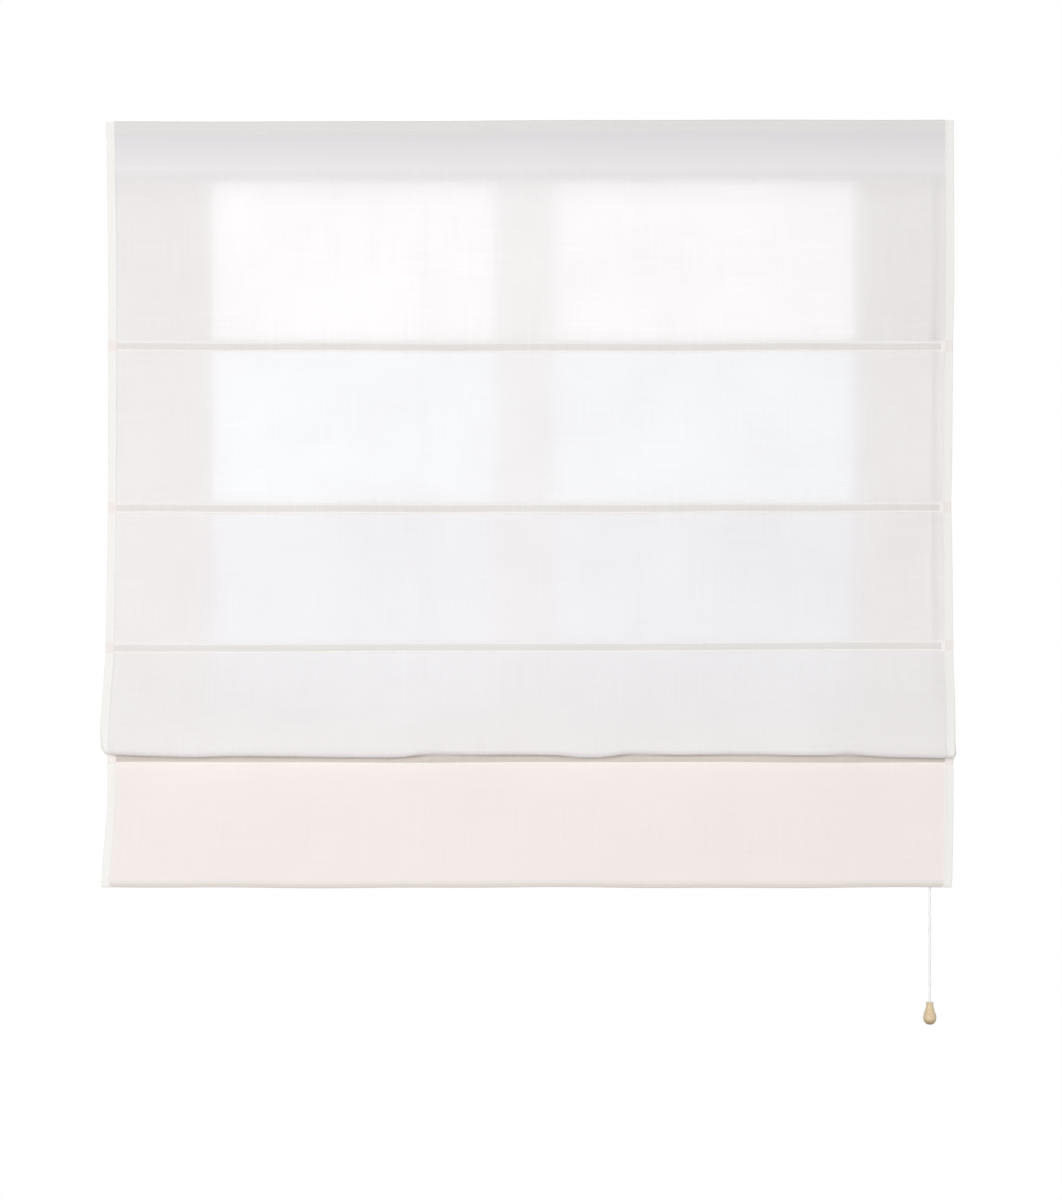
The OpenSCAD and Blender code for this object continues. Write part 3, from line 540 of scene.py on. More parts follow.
def drape(row, x, off=0.0):
    # a row of the cloth, at widths x and offsets off towards the back
    name, t = rowNames[row], rowShares[row]
    y, z = pathRows[row]
    pastBand = smoothstep((np.abs(x) - np.where(x < 0, *cloth["bandEnd"])) / cloth["bandFade"])
    y = rowPlain[row] + (y - rowPlain[row]) * (1 - pastBand)
    keys = np.array(drift[name])
    left, right = (0.001 * np.interp(t, keys[:, 0], keys[:, k]) for k in (1, 2))
    share = (x + cloth["half"]) / (2 * cloth["half"])
    edge = left * (1 - share) + right * share
    upper, lower = (waver(seam, x) for seam in seamOf[name])
    rise = upper * (1 - t) + lower * t
    ahead = hemLift(x)
    if name in slackOf:
        k, slack, count, stop = slackOf[name]
        swell = math.sin(math.pi * (t / stop)) if t < stop else 0
        ahead = ahead + swell * slack * sum(a * wave(x, length, b * k + c * t) for a, length, b, c in sway["waves"])
        bend = sway["bend"] * wave(x, sway["bendLong"], k)
        ahead = ahead + swell * sway["ripple"] * np.sin(math.tau * count * t + bend)
    if name == "fold":
        tip, sag = rowShares[foldTip], noseSag(x)
        w = smoothstep(t / tip) if t <= tip else smoothstep((1 - t) / (1 - tip))
        rise = rise * (1 - w) + w * sag
        ahead = ahead + w * sum(a * wave(x, *lie) for a, *lie in foldSway["waves"]) - foldSway["back"] * w * sag
    if name in ("band_4", "hem"):
        fall = 1 if name == "band_4" else max(0, 1 - t / drawnUp["fade"])
        ahead = ahead + drawnUp["deep"] * fall * pucker(x, drawnUp["phase"] + drawnUp["phaseAlong"] * t)
    back = pathBack[row]
    return np.stack([x + edge, y - ahead + off * back[0], z + rise + off * back[1]], axis=-1)


def gridNormals(grid):
    side = np.gradient(grid, axis=1)
    down = np.gradient(grid, axis=0)
    normal = np.cross(down, side)
    return normal / np.linalg.norm(normal, axis=2)[:, :, None]


def thickSheet(name, grids, thick, material, materialOf=None):
    # closed thin solids from grids of (mid points, normals, u, v); the rims are sharp
    # materialOf takes twice the middle v and u of a face
    verts, uvs, faces, slots, rims = [], [], [], [], []
    for mid, normal, u, v in grids:
        rows, cols = mid.shape[:2]
        base = len(verts)
        front, back = mid - normal * thick / 2, mid + normal * thick / 2
        verts += list(front.reshape(-1, 3)) + list(back.reshape(-1, 3))
        plane = np.stack(np.broadcast_arrays(u[None, :], v[:, None]), axis=-1).reshape(-1, 2)
        uvs += list(plane) + list(plane)
        size = rows * cols
        for i in range(rows - 1):
            for j in range(cols - 1):
                kind = materialOf(v[i] + v[i + 1], u[j] + u[j + 1]) if materialOf else 0
                a = base + i * cols + j
                faces.append((a, a + cols, a + cols + 1, a + 1))
                faces.append((a + size, a + size + 1, a + size + cols + 1, a + size + cols))
                slots += [kind, kind]
        loop = [(0, j) for j in range(cols)] + [(i, cols - 1) for i in range(1, rows)] + \
               [(rows - 1, j) for j in range(cols - 2, -1, -1)] + [(i, 0) for i in range(rows - 2, 0, -1)]
        for (i, j), (k, l) in zip(loop, loop[1:] + loop[:1]):
            a, b = base + i * cols + j, base + k * cols + l
            faces.append((a, b, b + size, a + size))
            slots.append(materialOf(v[i] + v[k], u[j] + u[l]) if materialOf else 0)
            rims += [(a, b), (a + size, b + size)]
    made = meshObject(name, verts, faces, uvs, material=material)
    mesh = made.data
    mesh.polygons.foreach_set("material_index", slots)
    sharp = {tuple(sorted(e)) for e in rims}
    marks = mesh.attributes.new("sharp_edge", "BOOLEAN", "EDGE")
    marks.data.foreach_set("value", [tuple(sorted(e.vertices)) in sharp for e in mesh.edges])
    mesh.update()
    return made


def stretchGrid(name):
    first, last = rowSpans[name]
    before = max(first - 1, 0)
    whole = np.stack([drape(r, colX, colOff) for r in range(before, min(last + 2, len(pathRows)))])
    cut = slice(first - before, last - before + 1)
    return whole[cut], gridNormals(whole)[cut], colU, pathRun[first:last + 1]


def nearestRow(name, z):
    first, last = rowSpans[name]
    return min(range(first, last + 1), key=lambda r: abs(pathRows[r][1] - z))


def turnedBack(name, points, inset):
    # a turned-over layer behind a stretch of the cloth, which leans and drifts as that stretch does
    x = np.linspace(-inset, inset, columns["plain"])
    grid = []
    for y, z in points:
        row = nearestRow(name, z)
        grid.append(drape(row, x) - np.array([0, *pathRows[row]]) + np.array([0, y, z]))
    grid = np.stack(grid)
    return grid, gridNormals(grid), x + colU[-1] / 2, runAlong(points)


def edgeSlot(v, u):
    return int(min(u / 2, colU[-1] - u / 2) < 2 * cloth["sideHem"] + cloth["edgeStitch"])


# how far apart the rows of the turned-over layers are
backStep = {"head": 0.004, "bar": 0.008, "hem": 0.012}


def headLayers():
    r, topZ = cloth["turn"], cloth["top"] - cloth["thick"] / 2 - cloth["turn"]
    over = arc((cloth["headY"] + r, topZ), r, 180, 0, 8)
    back = over + straight(over[-1], (over[-1][0], cloth["headBottom"]), backStep["head"])[1:]
    inset = cloth["half"] - cloth["sideHem"] - cloth["headInset"]
    return [stretchGrid("head"), turnedBack("head", back, inset)], ("head", "edge"), edgeSlot


def hemSlot(v, u):
    # the two last widths along the bottom edge are a little deeper in tone, painted shade where the edge turns under
    left = pathRun[-1] - v / 2
    if edgeSlot(v, u):
        return 1
    return 3 if left < hemShadeSteps[1] or v / 2 < hemShadeSteps[1] else 2 if left < hemShadeSteps[0] else 0


def hemLayers():
    run, wrap = cloth["hemRun"], cloth["wrapR"]
    under = [hemPoint(run + wrap * math.sin(a), wrap * (1 - math.cos(a))) for a in np.linspace(0, math.pi, 11)]
    back = under + straight(under[-1], hemPoint(run - cloth["bar"], 2 * wrap), backStep["bar"])[1:]
    back += straight(back[-1], hemPoint(cloth["hemSeam"], cloth["hemBack"]), backStep["hem"])[1:]
    layers = [stretchGrid("hem"), turnedBack("hem", back, cloth["half"] - cloth["turn"])]
    return layers, ("hem", "edge", "hemLowShade", "hemEdgeShade"), hemSlot


def bandSlot(name):
    # slots of a rod band: plain, side hem, strip over the rod, lip under it
    first, last = rowSpans[name]
    rodZ, (upper, lower), rightStop = cloth["rodZ"][int(name[-1]) - 1], cloth["strip"], colU[-1]
    if name == "band_4":
        upper = gap
    else:
        rightStop = float(np.interp(cloth["stripEnd"], colX[4:-4], colU[4:-4]))

    def choose(v, u):
        offset = np.interp(v / 2, pathRun[first:last + 1], pathRows[first:last + 1, 1]) - rodZ
        if edgeSlot(v, u):
            return 1
        if lower < offset < upper:
            return 2 if u / 2 < rightStop else 0
        # the lower lip takes the lip finish: a double layer, partly a painted highlight
        return 3 if cloth["lipEnd"] < offset < lower else 0

    return choose


def flatSize(name):
    first, last = rowSpans[name]
    return float(colU[-1]), float(pathRun[last] - pathRun[first])


bodyOf = {"head": "rail", "hem": "fold_4", **{f"band_{n}": f"fold_{n}" for n in range(1, 5)}}
rodMoves = (("rail", "rod1_slide", 0.28), ("fold_1", "rod2_slide", 0.21), ("fold_2", "rod3_slide", 0.18))


def shorten(piece, n):
    # a piece above a rod rides with the body at its top, on a mesh of its own
    body, joint, travel = rodMoves[n]
    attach(piece, body)
    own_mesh(piece)


def settle(piece, name):
    # a piece moves as the stretch of cloth that it belongs to
    if name in panelEnds:
        shorten(piece, int(name[-1]) - 1)
    elif name == "fold":
        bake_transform(piece)
    else:
        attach(piece, bodyOf[name])


def makeCloth():
    # the strip of band_4 takes the darkest band finish, painted shadow of the fold above it
    plain = {"panel_1": ("top", "edge"), "fold": ("fold", "edge"), "band_4": ("hem", "hem", "lowBand", "lip")}
    for name in stretches:
        flat = flatSize(name)
        if name == "head":
            (layers, kinds, slotOf), flat = headLayers(), cloth["headFlat"]
        elif name == "hem":
            (layers, kinds, slotOf), flat = hemLayers(), (cloth["hemWide"], 2 * cloth["hemRun"])
        else:
            band = name.startswith("band")
            kinds = plain.get(name, ("seam", "hem", "band", "lip") if band else ("sheer", "edge"))
            layers, slotOf = [stretchGrid(name)], bandSlot(name) if band else edgeSlot
        piece = thickSheet("cloth_" + name, layers, cloth["thick"], [clothFinish[k] for k in kinds], slotOf)
        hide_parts("fabric")
        settle(piece, name)


makeCloth()
print("stage: cloth, rows", len(pathRows), "columns", len(colX))

# rod pockets: a strip behind each band, sewn along both edges and standing off round its rod
pocket = {"half": 0.6867, "high": 0.006, "flange": 0.0046, "front": 0.0007, "r": 0.0032, "rodGap": 0.0036, "bend": 62,
          "step": 0.0007, "ease": (0.0003, 0.0006), "mostRise": 0.0014, "thin": 0.9, "cut": 0.0185, "flat": 0.0005,
          # rows near the rod stay level and the others waver with the band; crimps are (depth, wavelength, phase)
          "level": (0.0026, 0.0018), "crimps": ((0.00012, 0.019, 0.6), (0.00010, 0.0075, 1))}


def bandLine(n, x):
    # a band's middle row, and its waver, which the pocket behind it follows
    first, last = rowSpans[f"band_{n + 1}"]
    row = (first + last) // 2
    line = drape(row, x)
    return line, np.clip(line[:, 2] - pathRows[row][1], -pocket["mostRise"], pocket["mostRise"])


def pocketGrid(n):
    z, y = cloth["rodZ"][n], cloth["rodY"][n] + pocket["front"]
    high, flange, step, (out, down) = (pocket[key] for key in ("high", "flange", "step", "ease"))
    points = straight((y, z + high), (y, z + flange), step)[:-1] + [(y + out, z + flange - down)]
    points += arc((y + pocket["rodGap"], z), pocket["r"], pocket["bend"], -pocket["bend"], 12)
    points += [(y + out, z - flange + down)] + straight((y, z - flange), (y, z - high), step)
    x = np.linspace(-pocket["half"], pocket["half"], columns["plain"])
    line, rise = bandLine(n, x)
    crimp = sum(deep * wave(x, length, phase * n) for deep, length, phase in pocket["crimps"])
    near, fade = pocket["level"]
    grid = np.stack([np.stack([line[:, 0], py + crimp * (py - y > pocket["flat"]),
                               pz + rise * smoothstep((abs(pz - z) - near) / fade)], axis=-1) for py, pz in points])
    return grid, gridNormals(grid), x, runAlong(points)


def makePockets():
    for n in range(4):
        thick = cloth["thick"] * pocket["thin"]
        piece = thickSheet(f"pocket_cloth_{n + 1}", [pocketGrid(n)], thick, clothFinish["pocket"])
        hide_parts(f"rod_pocket_{n + 1}")
        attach(piece, f"fold_{n + 1}")


makePockets()
print("stage: rod pockets")

# sewn lines: one Geometry Nodes tree lays stitches along any path
stitch = {"pitch": 0.0036, "length": 0.0029, "radius": 0.00026, "seed": 7, "half": 0.6855, "points": 172,
          # heights of the sewn lines on the head, the rod bands and the pockets, and their place on the side hems
          "head": (0.0304, 0.0168), "band": (0.0048, -0.0067), "lowBand": (-0.0063,), "pocket": 0.0053,
          "inset": 0.0008, "backInset": 0.0012,
          # how far the thread stands out, as a share of its radius
          "proud": 0.4, "sideProud": 0.5}


def stitchTree():
    tree = bpy.data.node_groups.new("sewnLine", "GeometryNodeTree")
    face = tree.interface
    face.new_socket("Geometry", in_out="OUTPUT", socket_type="NodeSocketGeometry")
    for name, kind in (("Geometry", "Geometry"), ("Pitch", "Float"), ("Length", "Float"), ("Radius", "Float"),
                       ("Seed", "Int"), ("Thread", "Material")):
        face.new_socket(name, in_out="INPUT", socket_type="NodeSocket" + kind)
    given = tree.nodes.new("NodeGroupInput").outputs
    line = addNode(tree, "GeometryNodeMeshToCurve", {}, {0: given["Geometry"]})
    even = addNode(tree, "GeometryNodeResampleCurve", {"mode": "LENGTH"},
                   {"Curve": line.outputs[0], "Length": given["Pitch"]})
    along = addNode(tree, "GeometryNodeInputTangent")
    turn = addNode(tree, "FunctionNodeAlignRotationToVector", {"axis": "X"}, {"Vector": along.outputs[0]})
    bead = addNode(tree, "GeometryNodeMeshUVSphere", {}, {"Segments": 5, "Rings": 4, "Radius": 1.0})
    tip = addNode(tree, "FunctionNodeEulerToRotation", {}, {0: (0.0, math.pi / 2, 0.0)})
    lie = addNode(tree, "FunctionNodeRotateRotation", {"rotation_space": "LOCAL"},
                  {0: turn.outputs[0], 1: tip.outputs[0]})
    uneven = addNode(tree, "FunctionNodeRandomValue", {"data_type": "FLOAT"}, {2: 0.42, 3: 0.52, "Seed": given["Seed"]})
    longway = node(tree, "Math", {"operation": "MULTIPLY"}, {0: given["Length"], 1: uneven.outputs[1]})
    size = node(tree, "CombineXYZ", {}, {0: given["Radius"], 1: given["Radius"], 2: longway.outputs[0]})
    laid = addNode(tree, "GeometryNodeInstanceOnPoints", {}, {
        "Points": even.outputs[0], "Instance": bead.outputs[0], "Rotation": lie.outputs[0], "Scale": size.outputs[0]})
    real = addNode(tree, "GeometryNodeRealizeInstances", {}, {0: laid.outputs[0]})
    soft = addNode(tree, "GeometryNodeSetShadeSmooth", {}, {0: real.outputs[0]})
    done = addNode(tree, "GeometryNodeSetMaterial", {}, {0: soft.outputs[0], "Material": given["Thread"]})
    tree.links.new(done.outputs[0], tree.nodes.new("NodeGroupOutput").inputs[0])
    return tree


sewnLine = stitchTree()


def sew(name, lines, thread):
    # lines: lists of points; one plain mesh of stitches comes back
    verts, edges = [], []
    for line in lines:
        base = len(verts)
        verts += [tuple(p) for p in line]
        edges += [(base + i, base + i + 1) for i in range(len(line) - 1)]
    mesh = bpy.data.meshes.new(name + "_path")
    mesh.from_pydata(verts, edges, [])
    carrier = bpy.data.objects.new(name + "_path", mesh)
    bpy.context.scene.collection.objects.link(carrier)
    nodes = carrier.modifiers.new("sewnLine", "NODES")
    nodes.node_group = sewnLine
    for item in sewnLine.interface.items_tree:
        if item.in_out == "INPUT" and item.name != "Geometry":
            nodes[item.identifier] = thread if item.name == "Thread" else stitch[item.name.lower()]
    bpy.context.view_layer.update()
    depsgraph = bpy.context.evaluated_depsgraph_get()
    made = bpy.data.meshes.new_from_object(carrier.evaluated_get(depsgraph))
    bpy.data.objects.remove(carrier)
    made.name = name
    piece = bpy.data.objects.new(name, made)
    bpy.context.scene.collection.objects.link(piece)
    return piece


def frontLine(row, x, lift):
    # a line of points just in front of a row of the cloth
    return drape(row, x) - np.array([0, *pathBack[row]]) * (cloth["thick"] / 2 + lift)


def sideLine(name, x, behind=False):
    first, last = rowSpans[name]
    at, lift = np.array([x]), stitch["radius"] * stitch["sideProud"]
    if behind:
        move = cloth["turn"] * 2 + cloth["thick"] / 2 + lift
        return [drape(r, at, move)[0] for r in range(first, last + 1)]
    return [frontLine(r, at, lift)[0] for r in range(first, last + 1)]


def makeStitches():
    span = np.linspace(-stitch["half"], stitch["half"], stitch["points"])
    proud, hemX = stitch["radius"] * stitch["proud"], cloth["half"] - cloth["sideHem"]
    for name in stretches:
        if name == "head":
            lines = [frontLine(nearestRow(name, z), span, proud) for z in stitch["head"]]
        elif name.startswith("band"):
            n = int(name[-1]) - 1
            rod, offsets = cloth["rodZ"][n], stitch["lowBand" if n == 3 else "band"]
            lines = [frontLine(nearestRow(name, rod + off), span, proud) for off in offsets]
            line, rise = bandLine(n, span)
            backY = cloth["rodY"][n] + pocket["front"] + cloth["thick"] * pocket["thin"] / 2
            behind = np.full_like(span, backY + proud)
            lines += [np.stack([line[:, 0], behind, rod + side * stitch["pocket"] + rise], axis=-1) for side in (1, -1)]
        else:
            lines = [sideLine(name, side * (hemX + stitch["inset"])) for side in (-1, 1)]
            if name != "hem":
                lines += [sideLine(name, side * (hemX + stitch["backInset"]), True) for side in (-1, 1)]
        piece = sew("stitches_" + name, lines, sewingThread)
        settle(piece, name)


makeStitches()
print("stage: stitches")


# cords: round tubes with a map for the braid
def tubeRings(points, radii, sides, lobes=None):
    p = np.asarray(points, float)
    tangent = np.gradient(p, axis=0)
    tangent /= np.linalg.norm(tangent, axis=1)[:, None]
    side = np.cross(tangent, (0, 1, 0))
    side /= np.linalg.norm(side, axis=1)[:, None]
    other = np.cross(side, tangent)
    run = runAlong(p)
    angle = math.tau * np.arange(sides + 1) / sides
    r = np.broadcast_to(np.asarray(radii, float)[:, None], (len(p), sides + 1)).copy()
    if lobes:
        count, pitch, depth = lobes
        turn, climb = count * angle[None] / 2, math.pi * run[:, None] / pitch
        r *= 1 - depth + depth * np.maximum(np.abs(np.sin(turn + climb)), np.abs(np.sin(turn - climb)))
    spoke = np.cos(angle)[None, :, None] * side[:, None] + np.sin(angle)[None, :, None] * other[:, None]
    return p[:, None] + r[..., None] * spoke, run


def cordMesh(name, strands, sides, material, lobes=None):
    verts, uvs, faces = [], [], []
    for points, radii in strands:
        ring, run = tubeRings(points, radii, sides, lobes=lobes)
        base, rows = len(verts), len(run)
        verts += list(ring[:, :sides].reshape(-1, 3))
        uvs += [(k / sides, s) for s in run for k in range(sides)]
        for i in range(rows - 1):
            for k in range(sides):
                a, b = base + i * sides + k, base + i * sides + (k + 1) % sides
                faces.append((a, b, b + sides, a + sides))
        faces.append(tuple(base + k for k in range(sides - 1, -1, -1)))
        faces.append(tuple(base + (rows - 1) * sides + k for k in range(sides)))
    made = meshObject(name, verts, faces, uvs, material=material)
    made.data.update()
    return made


def dense(points, step):
    out = [points[0]]
    for a, b in zip(points, points[1:]):
        count = max(1, round(math.dist(a, b) / step))
        out += [tuple(a[k] + (b[k] - a[k]) * i / count for k in range(3)) for i in range(1, count + 1)]
    return out


# pull cord: the route's own points, from the joiner to the knot in the acorn
pull = {"x": 0.664, "y": -0.0148, "d": 0.004, "length": 1.135, "step": 0.0010, "sides": 16, "lobes": (8, 0.0032, 0.08),
        "knot": {"wide": 1.7, "rows": 6, "step": 0.0005, "least": 0.62, "swell": 0.55, "round": 0.6}, "exitZ": -0.335,
        "z": (-0.320, -0.330, -0.340, -0.360, -0.400, -0.480, -0.560, -0.640, -0.720, -0.800, -0.880, -0.960, -1.040,
              -1.120, -1.200, -1.280, -1.360, -1.410, -1.440, -1.452)}
# the acorn's bottom darkens with painted shade, up to the given height, to the given dark tone
acorn = {"d": 0.022, "h": 0.036, "bottom": -1.460, "recessD": 0.009, "recessH": 0.008, "bore": 0.0023, "ease": 0.0006,
         "rim": 0.0004, "heart": (0.004, 0.011), "ring": 0.0021, "wearAndShade": 0.011, "sides": 56, "rows": 60,
         "tones": ((208, 180, 140), (241, 223, 191)), "shadeTone": (122, 93, 54),
         "shape": ((0, 0.47), (0.03, 0.6), (0.1, 0.8), (0.2, 0.96), (0.3, 1), (0.4, 0.97), (0.5, 0.88), (0.6, 0.77),
                   (0.7, 0.66), (0.78, 0.58), (0.86, 0.55), (0.94, 0.555), (0.98, 0.575), (1, 0.53))}


def woodMaterial():
    made, tree = newMaterial("turnedWood")
    heart = (-pull["x"] + acorn["heart"][0], -pull["y"] + acorn["heart"][1], -acorn["bottom"])
    centred = node(tree, "Mapping", {}, {"Vector": ownPlace(tree), "Location": heart}).outputs[0]
    warp = noise(tree, centred, (55, 55, 14), 3.0)
    x, y, z = node(tree, "SeparateXYZ", {}, {0: centred}).outputs
    ringR = calc(tree, "SQRT", calc(tree, "ADD", calc(tree, "POWER", x, 2.0), calc(tree, "POWER", y, 2.0)))
    turns = calc(tree, "MULTIPLY", ringR, math.tau / acorn["ring"])
    rings = calc(tree, "SINE", calc(tree, "ADD", turns, calc(tree, "MULTIPLY", warp, 9.0)))
    pores = noise(tree, centred, (2600, 2600, 160), 2.0)
    grain = calc(tree, "ADD", ramp(tree, rings, -0.6, 1.0, 0.0, 0.62), ramp(tree, pores, 0.42, 0.62, 0.0, 0.38))
    colour = blendColours(tree, grain, *(srgb(*tone) for tone in acorn["tones"]))
    # painted shade: the wood darkens towards the bottom of the acorn
    colour = blendColours(tree, ramp(tree, z, 0.0, acorn["wearAndShade"], 0.92, 0.0), colour, srgb(*acorn["shadeTone"]))
    principled(tree, {"Base Color": colour, "Roughness": ramp(tree, grain, 0.0, 1.0, 0.52, 0.38), "Coat Weight": 0.25,
                      "Coat Roughness": 0.22, "Normal": bump(tree, grain, 0.25, 0.0002)})
    return made


def smoothOutline(points, count):
    # an even, rounded line through the turned outline
    p = np.array(points, float)
    run = runAlong(p)
    out = []
    for s in np.linspace(0, run[-1], count):
        i = int(np.clip(np.searchsorted(run, s, "right") - 1, 0, len(p) - 2))
        t = (s - run[i]) / (run[i + 1] - run[i])
        q = [p[max(i - 1, 0)], p[i], p[i + 1], p[min(i + 2, len(p) - 1)]]
        out.append(0.5 * (2 * q[1] + (q[2] - q[0]) * t + (2 * q[0] - 5 * q[1] + 4 * q[2] - q[3]) * t * t
                          + (3 * q[1] - q[0] - 3 * q[2] + q[3]) * t ** 3))
    return [tuple(o) for o in out]


def lathe(name, outline, at, sides, material):
    # outline: (r, z) pairs of a closed loop, outer wall upwards first
    turns = [(math.cos(math.tau * k / sides), math.sin(math.tau * k / sides)) for k in range(sides)]
    verts = [(at[0] + r * c, at[1] + r * d, at[2] + z) for r, z in outline for c, d in turns]
    faces = []
    for i in range(len(outline)):
        low, high = i * sides, (i + 1) % len(outline) * sides
        faces += [(low + k, low + (k + 1) % sides, high + (k + 1) % sides, high + k) for k in range(sides)]
    made = meshObject(name, verts, faces, material=material)
    made.data.set_sharp_from_angle(angle=math.radians(50))
    return made


def makePull():
    r, h, ease, rim = acorn["d"] / 2, acorn["h"], acorn["ease"], acorn["rim"]
    bore, deep, wide = acorn["bore"], acorn["recessH"], acorn["recessD"] / 2
    outline = smoothOutline([(share * r, z * h) for z, share in acorn["shape"]], acorn["rows"])
    outline += [(bore + ease, h), (bore, h - ease), (bore, deep), (wide - ease, deep), (wide, deep - ease), (wide, rim),
                (wide + rim, 0)]
    bob = lathe("acorn_wood", outline, (pull["x"], pull["y"], acorn["bottom"]), acorn["sides"], woodMaterial())
    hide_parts("acorn")
    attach(bob, "pull")

    path = dense([(pull["x"], pull["y"], z) for z in pull["z"]], pull["step"])
    radii = [pull["d"] / 2] * len(path)
    knot = pull["knot"]
    for k in range(1, knot["rows"] + 1):
        swell = knot["swell"] * math.sin(math.pi * k / (knot["rows"] + 1)) ** knot["round"]
        path.append((pull["x"], pull["y"], pull["z"][-1] - k * knot["step"]))
        radii.append(pull["d"] / 2 * knot["wide"] * (knot["least"] + swell))
    string = cordMesh("pull_string", [(path, radii)], pull["sides"], pullBraid, pull["lobes"])
    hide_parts("pull_cord")
    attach(string, "pull")


makePull()
print("stage: pull cord and acorn")

# lift cords: each stretch is one piece of four strands; the rail stretch and those between the rods ride with the body
# at their top, the last stretch and the drop stay where they are
lift = {"d": 0.0014, "sides": 8, "tieY": -0.0199, "tieTop": 0.014, "ringY": (-0.01642, -0.01552, -0.02038),
        "railY": -0.0148, "guideZ": 0.0042, "guideTop": 0.0110, "bendR": 0.0042, "laneStep": 0.0021,
        "pulley": (0.658, 0.0092), "turnR": 0.006, "lockZ": -0.031, "joinTop": -0.305, "joinH": 0.030,
        "bundle": 0.00098, "step": 0.004, "railStep": 0.02, "knotTop": -1.0253, "knotStep": 0.00045,
        "knot": (1.35, 1.75, 1.85, 1.8, 1.45, 0.7)}


def strand(line, ends=()):
    return line, [lift["d"] / 2] * (len(line) - len(ends)) + [lift["d"] / 2 * share for share in ends]


def makeLiftCords():
    tieY, railY, foot, lockZ = lift["tieY"], lift["railY"], lift["knotTop"], lift["lockZ"]
    (px, pz), bendR, turnR = lift["pulley"], lift["bendR"], lift["turnR"]
    runs = {"upper": [], "middle": [], "lower": [], "last": [], "rail": [], "drop": []}
    for i, x in enumerate(cordX):
        lane = railY + (i - 1.5) * lift["laneStep"]
        stops = [(x, railY, lift["guideZ"])] + [(x, y, z) for y, z in zip(lift["ringY"], cloth["rodZ"])]
        for key, a, b in zip(runs, stops, stops[1:]):
            runs[key].append(strand(dense([a, b], lift["step"])))
        line = dense([stops[3], (x, tieY, r4 + lift["tieTop"]), (x, tieY, r4), (x, tieY, foot)], lift["step"])
        knot = [(x, tieY, foot - lift["knotStep"] * k) for k in range(1, len(lift["knot"]) + 1)]
        runs["last"].append(strand(line + knot, lift["knot"]))
        bend = [(x + bendR * (1 - math.cos(a)), railY + (lane - railY) * a / (math.pi / 2),
                 lift["guideTop"] + bendR * math.sin(a)) for a in np.radians(np.arange(0, 91, 15))]
        turn = [(px + turnR * math.cos(a), lane, pz + turnR * math.sin(a)) for a in np.radians(np.arange(90, -1, -10))]
        level = dense([bend[-1], turn[0]], lift["railStep"])[1:]
        runs["rail"].append(strand(stops[:1] + bend + level + turn[1:] + [(px + turnR, lane, lockZ)]))
        end = (pull["x"] + ((i % 2) * 2 - 1) * lift["bundle"], railY + ((i // 2) * 2 - 1) * lift["bundle"])
        below = [(*end, lift["joinTop"] + lift["joinH"] * share) for share in (0.5, 0, -0.25)]
        runs["drop"].append(strand(dense([(pull["x"], lane, lockZ)] + below, lift["step"])))
    for n, (key, strands) in enumerate(runs.items()):
        piece = cordMesh("lift_cords_" + key, strands, lift["sides"], liftBraid)
        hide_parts(*[f"lift_cord_{i}" for i in range(1, 5)])
        if key == "last":
            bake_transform(piece)
        elif key == "drop":
            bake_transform(piece)
        elif key == "rail":
            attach(piece, "rail")
        else:
            shorten(piece, n)


makeLiftCords()
print("stage: lift cords")

# thread that holds each ring and each tie to its pocket
holdFast = {"wraps": 4, "r": 0.00022, "spread": 0.000605, "points": 14, "sides": 6,
            # each loop: stand-off, depth, height, skew, and the rise and the first height of its turns
            "ring": (0.0007, 0.0016, 0.00125, 0.0003, 0, 0), "tie": (0.0003, 0.0009, 0.0011, 0.0004, 0.0006, -0.0016),
            "tieSpread": 0.9}


def makeHoldFasts():
    for n in range(4):
        strands = []
        backY = cloth["rodY"][n] + pocket["front"] + 2 * pocket["rodGap"]
        stand, deep, high, skew, climb, first = holdFast["ring" if n < 3 else "tie"]
        spread = holdFast["spread"] * (1 if n < 3 else holdFast["tieSpread"])
        for x in cordX:
            for k in range(holdFast["wraps"]):
                middle = x + (k - (holdFast["wraps"] - 1) / 2) * spread
                z = cloth["rodZ"][n] + first + climb * k
                line = [(middle + skew * math.sin(a), backY + stand + deep * math.cos(a), z + high * math.sin(a))
                        for a in np.linspace(0, math.tau * 0.999, holdFast["points"])]
                strands.append((line, [holdFast["r"]] * len(line)))
        piece = cordMesh(f"hold_thread_{n + 1}", strands, holdFast["sides"], sewingThread)
        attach(piece, f"fold_{n + 1}")


makeHoldFasts()
print("stage: holding threads")


# finishes for the hard parts, on the CAD nodes themselves
def paint(material, *names):
    for name in names:
        mesh = parts[name].data
        mesh.materials.clear()
        mesh.materials.append(material)


def plasticMaterial(name, pale, deep, rough, milky):
    made, tree = newMaterial(name)
    place = ownPlace(tree)
    skin = noise(tree, place, (1500, 1500, 1500), 2.0)
    cloudy = noise(tree, place, (35, 35, 35), 3.0)
    scuff = noise(tree, place, (90, 420, 420), 4.0)
    wearAndShade = ramp(tree, scuff, 0.35, 0.75, rough, rough + 0.16)
    shine = calc(tree, "ADD", wearAndShade, ramp(tree, skin, 0.3, 0.7, -0.03, 0.03))
    principled(tree, {"Base Color": blendColours(tree, ramp(tree, cloudy, 0.3, 0.7), srgb(*deep), srgb(*pale)),
                      "Roughness": shine, "Subsurface Weight": milky, "Subsurface Scale": 0.002,
                      "Normal": bump(tree, skin, 0.12, 0.0001)})
    return made


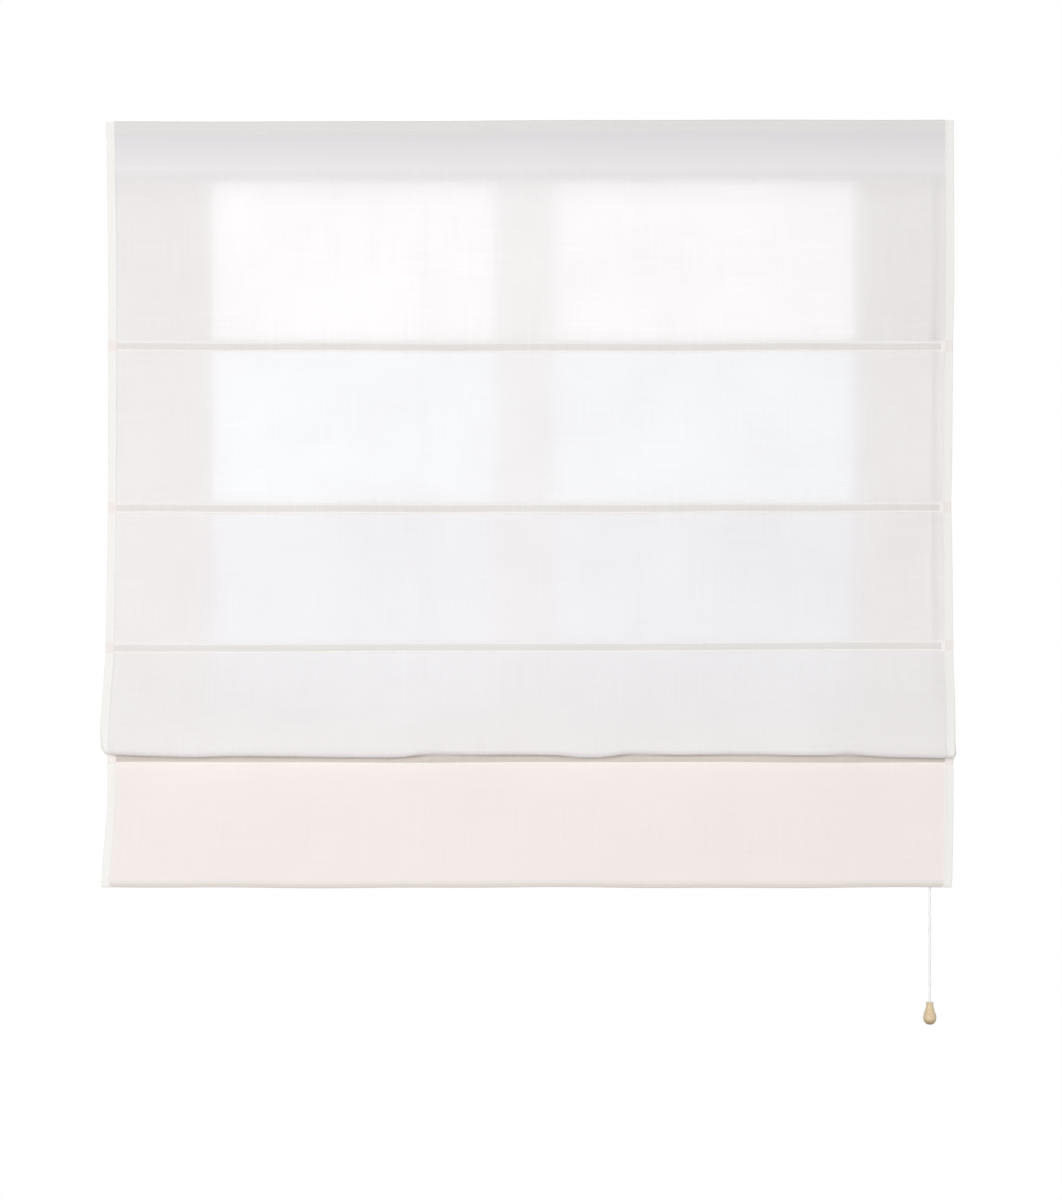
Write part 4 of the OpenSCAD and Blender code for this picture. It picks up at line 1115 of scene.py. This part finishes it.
def metalMaterial(name, pale, deep, stretch, rough):
    made, tree = newMaterial(name)
    place = ownPlace(tree)
    lines = noise(tree, place, stretch, 3.0)
    cloudy = noise(tree, place, (22, 22, 22), 3.0)
    tone = ramp(tree, calc(tree, "ADD", lines, cloudy), 0.75, 1.25)
    principled(tree, {"Base Color": blendColours(tree, tone, srgb(*deep), srgb(*pale)), "Metallic": 1.0,
                      "Roughness": ramp(tree, lines, 0.3, 0.7, rough, rough + 0.14),
                      "Normal": bump(tree, lines, 0.08, 0.0001)})
    return made


def tapeMaterial(name, pale, deep, size, height):
    made, tree = newMaterial(name)
    place = ownPlace(tree)
    tufts = node(tree, "TexVoronoi", {}, {"Vector": place, "Scale": size}).outputs["Distance"]
    fluff = noise(tree, place, (900, 900, 900), 3.0)
    lie = calc(tree, "ADD", ramp(tree, tufts, 0.0, 0.7, 1.0, 0.0), calc(tree, "MULTIPLY", fluff, 0.6))
    # the gaps between the tufts are deeper in tone: painted shade
    principled(tree, {"Base Color": blendColours(tree, ramp(tree, lie, 0.3, 1.2), srgb(*deep), srgb(*pale)),
                      "Roughness": ramp(tree, fluff, 0.3, 0.7, 0.8, 0.98), "Sheen Weight": 0.2,
                      "Normal": bump(tree, lie, 0.6, height)})
    return made


def numbered(stem, count):
    return [f"{stem}_{i}" for i in range(1, count + 1)]


# each finish: how it is made, pale and deep tone, its two last values, and the nodes that have it
hardFinishes = {
    "brushedRail": (metalMaterial, (226, 227, 229), (198, 199, 202), (4, 900, 900), 0.32, ["headrail"]),
    "zincPlate": (metalMaterial, (206, 207, 208), (168, 170, 173), (140, 140, 140), 0.34,
                  ["bracket_left", "bracket_right"]),
    "brightSteel": (metalMaterial, (214, 214, 214), (170, 170, 172), (320, 320, 320), 0.24,
                    ["clip_rivets", "pulley_pin", "lock_roller"]),
    "barSteel": (metalMaterial, (196, 197, 199), (160, 161, 164), (6, 700, 700), 0.36, ["bottom_bar"]),
    "mouldedWhite": (plasticMaterial, (244, 244, 242), (236, 236, 233), 0.38, 0.05,
                     ["end_cap_left", "end_cap_right", "rail_clip_left", "rail_clip_right", "cord_lock_housing",
                      "lock_pulley", "cord_joiner"] + numbered("cord_guide", 4) + numbered("cord_tie", 4)
                     + numbered("rings", 3)),
    "rodWhite": (plasticMaterial, (240, 240, 236), (228, 228, 223), 0.30, 0.0, numbered("rod", 4)),
    "hookTape": (tapeMaterial, (244, 243, 240), (222, 220, 215), 900.0, 0.0006, ["hook_tape"]),
    "loopTape": (tapeMaterial, (246, 244, 241), (228, 225, 220), 620.0, 0.0008, ["loop_tape"])}


def makeHardParts():
    for name, (make, *values, nodes) in hardFinishes.items():
        paint(make(name, *values), *nodes)


makeHardParts()
print("stage: finishes on the hard parts")
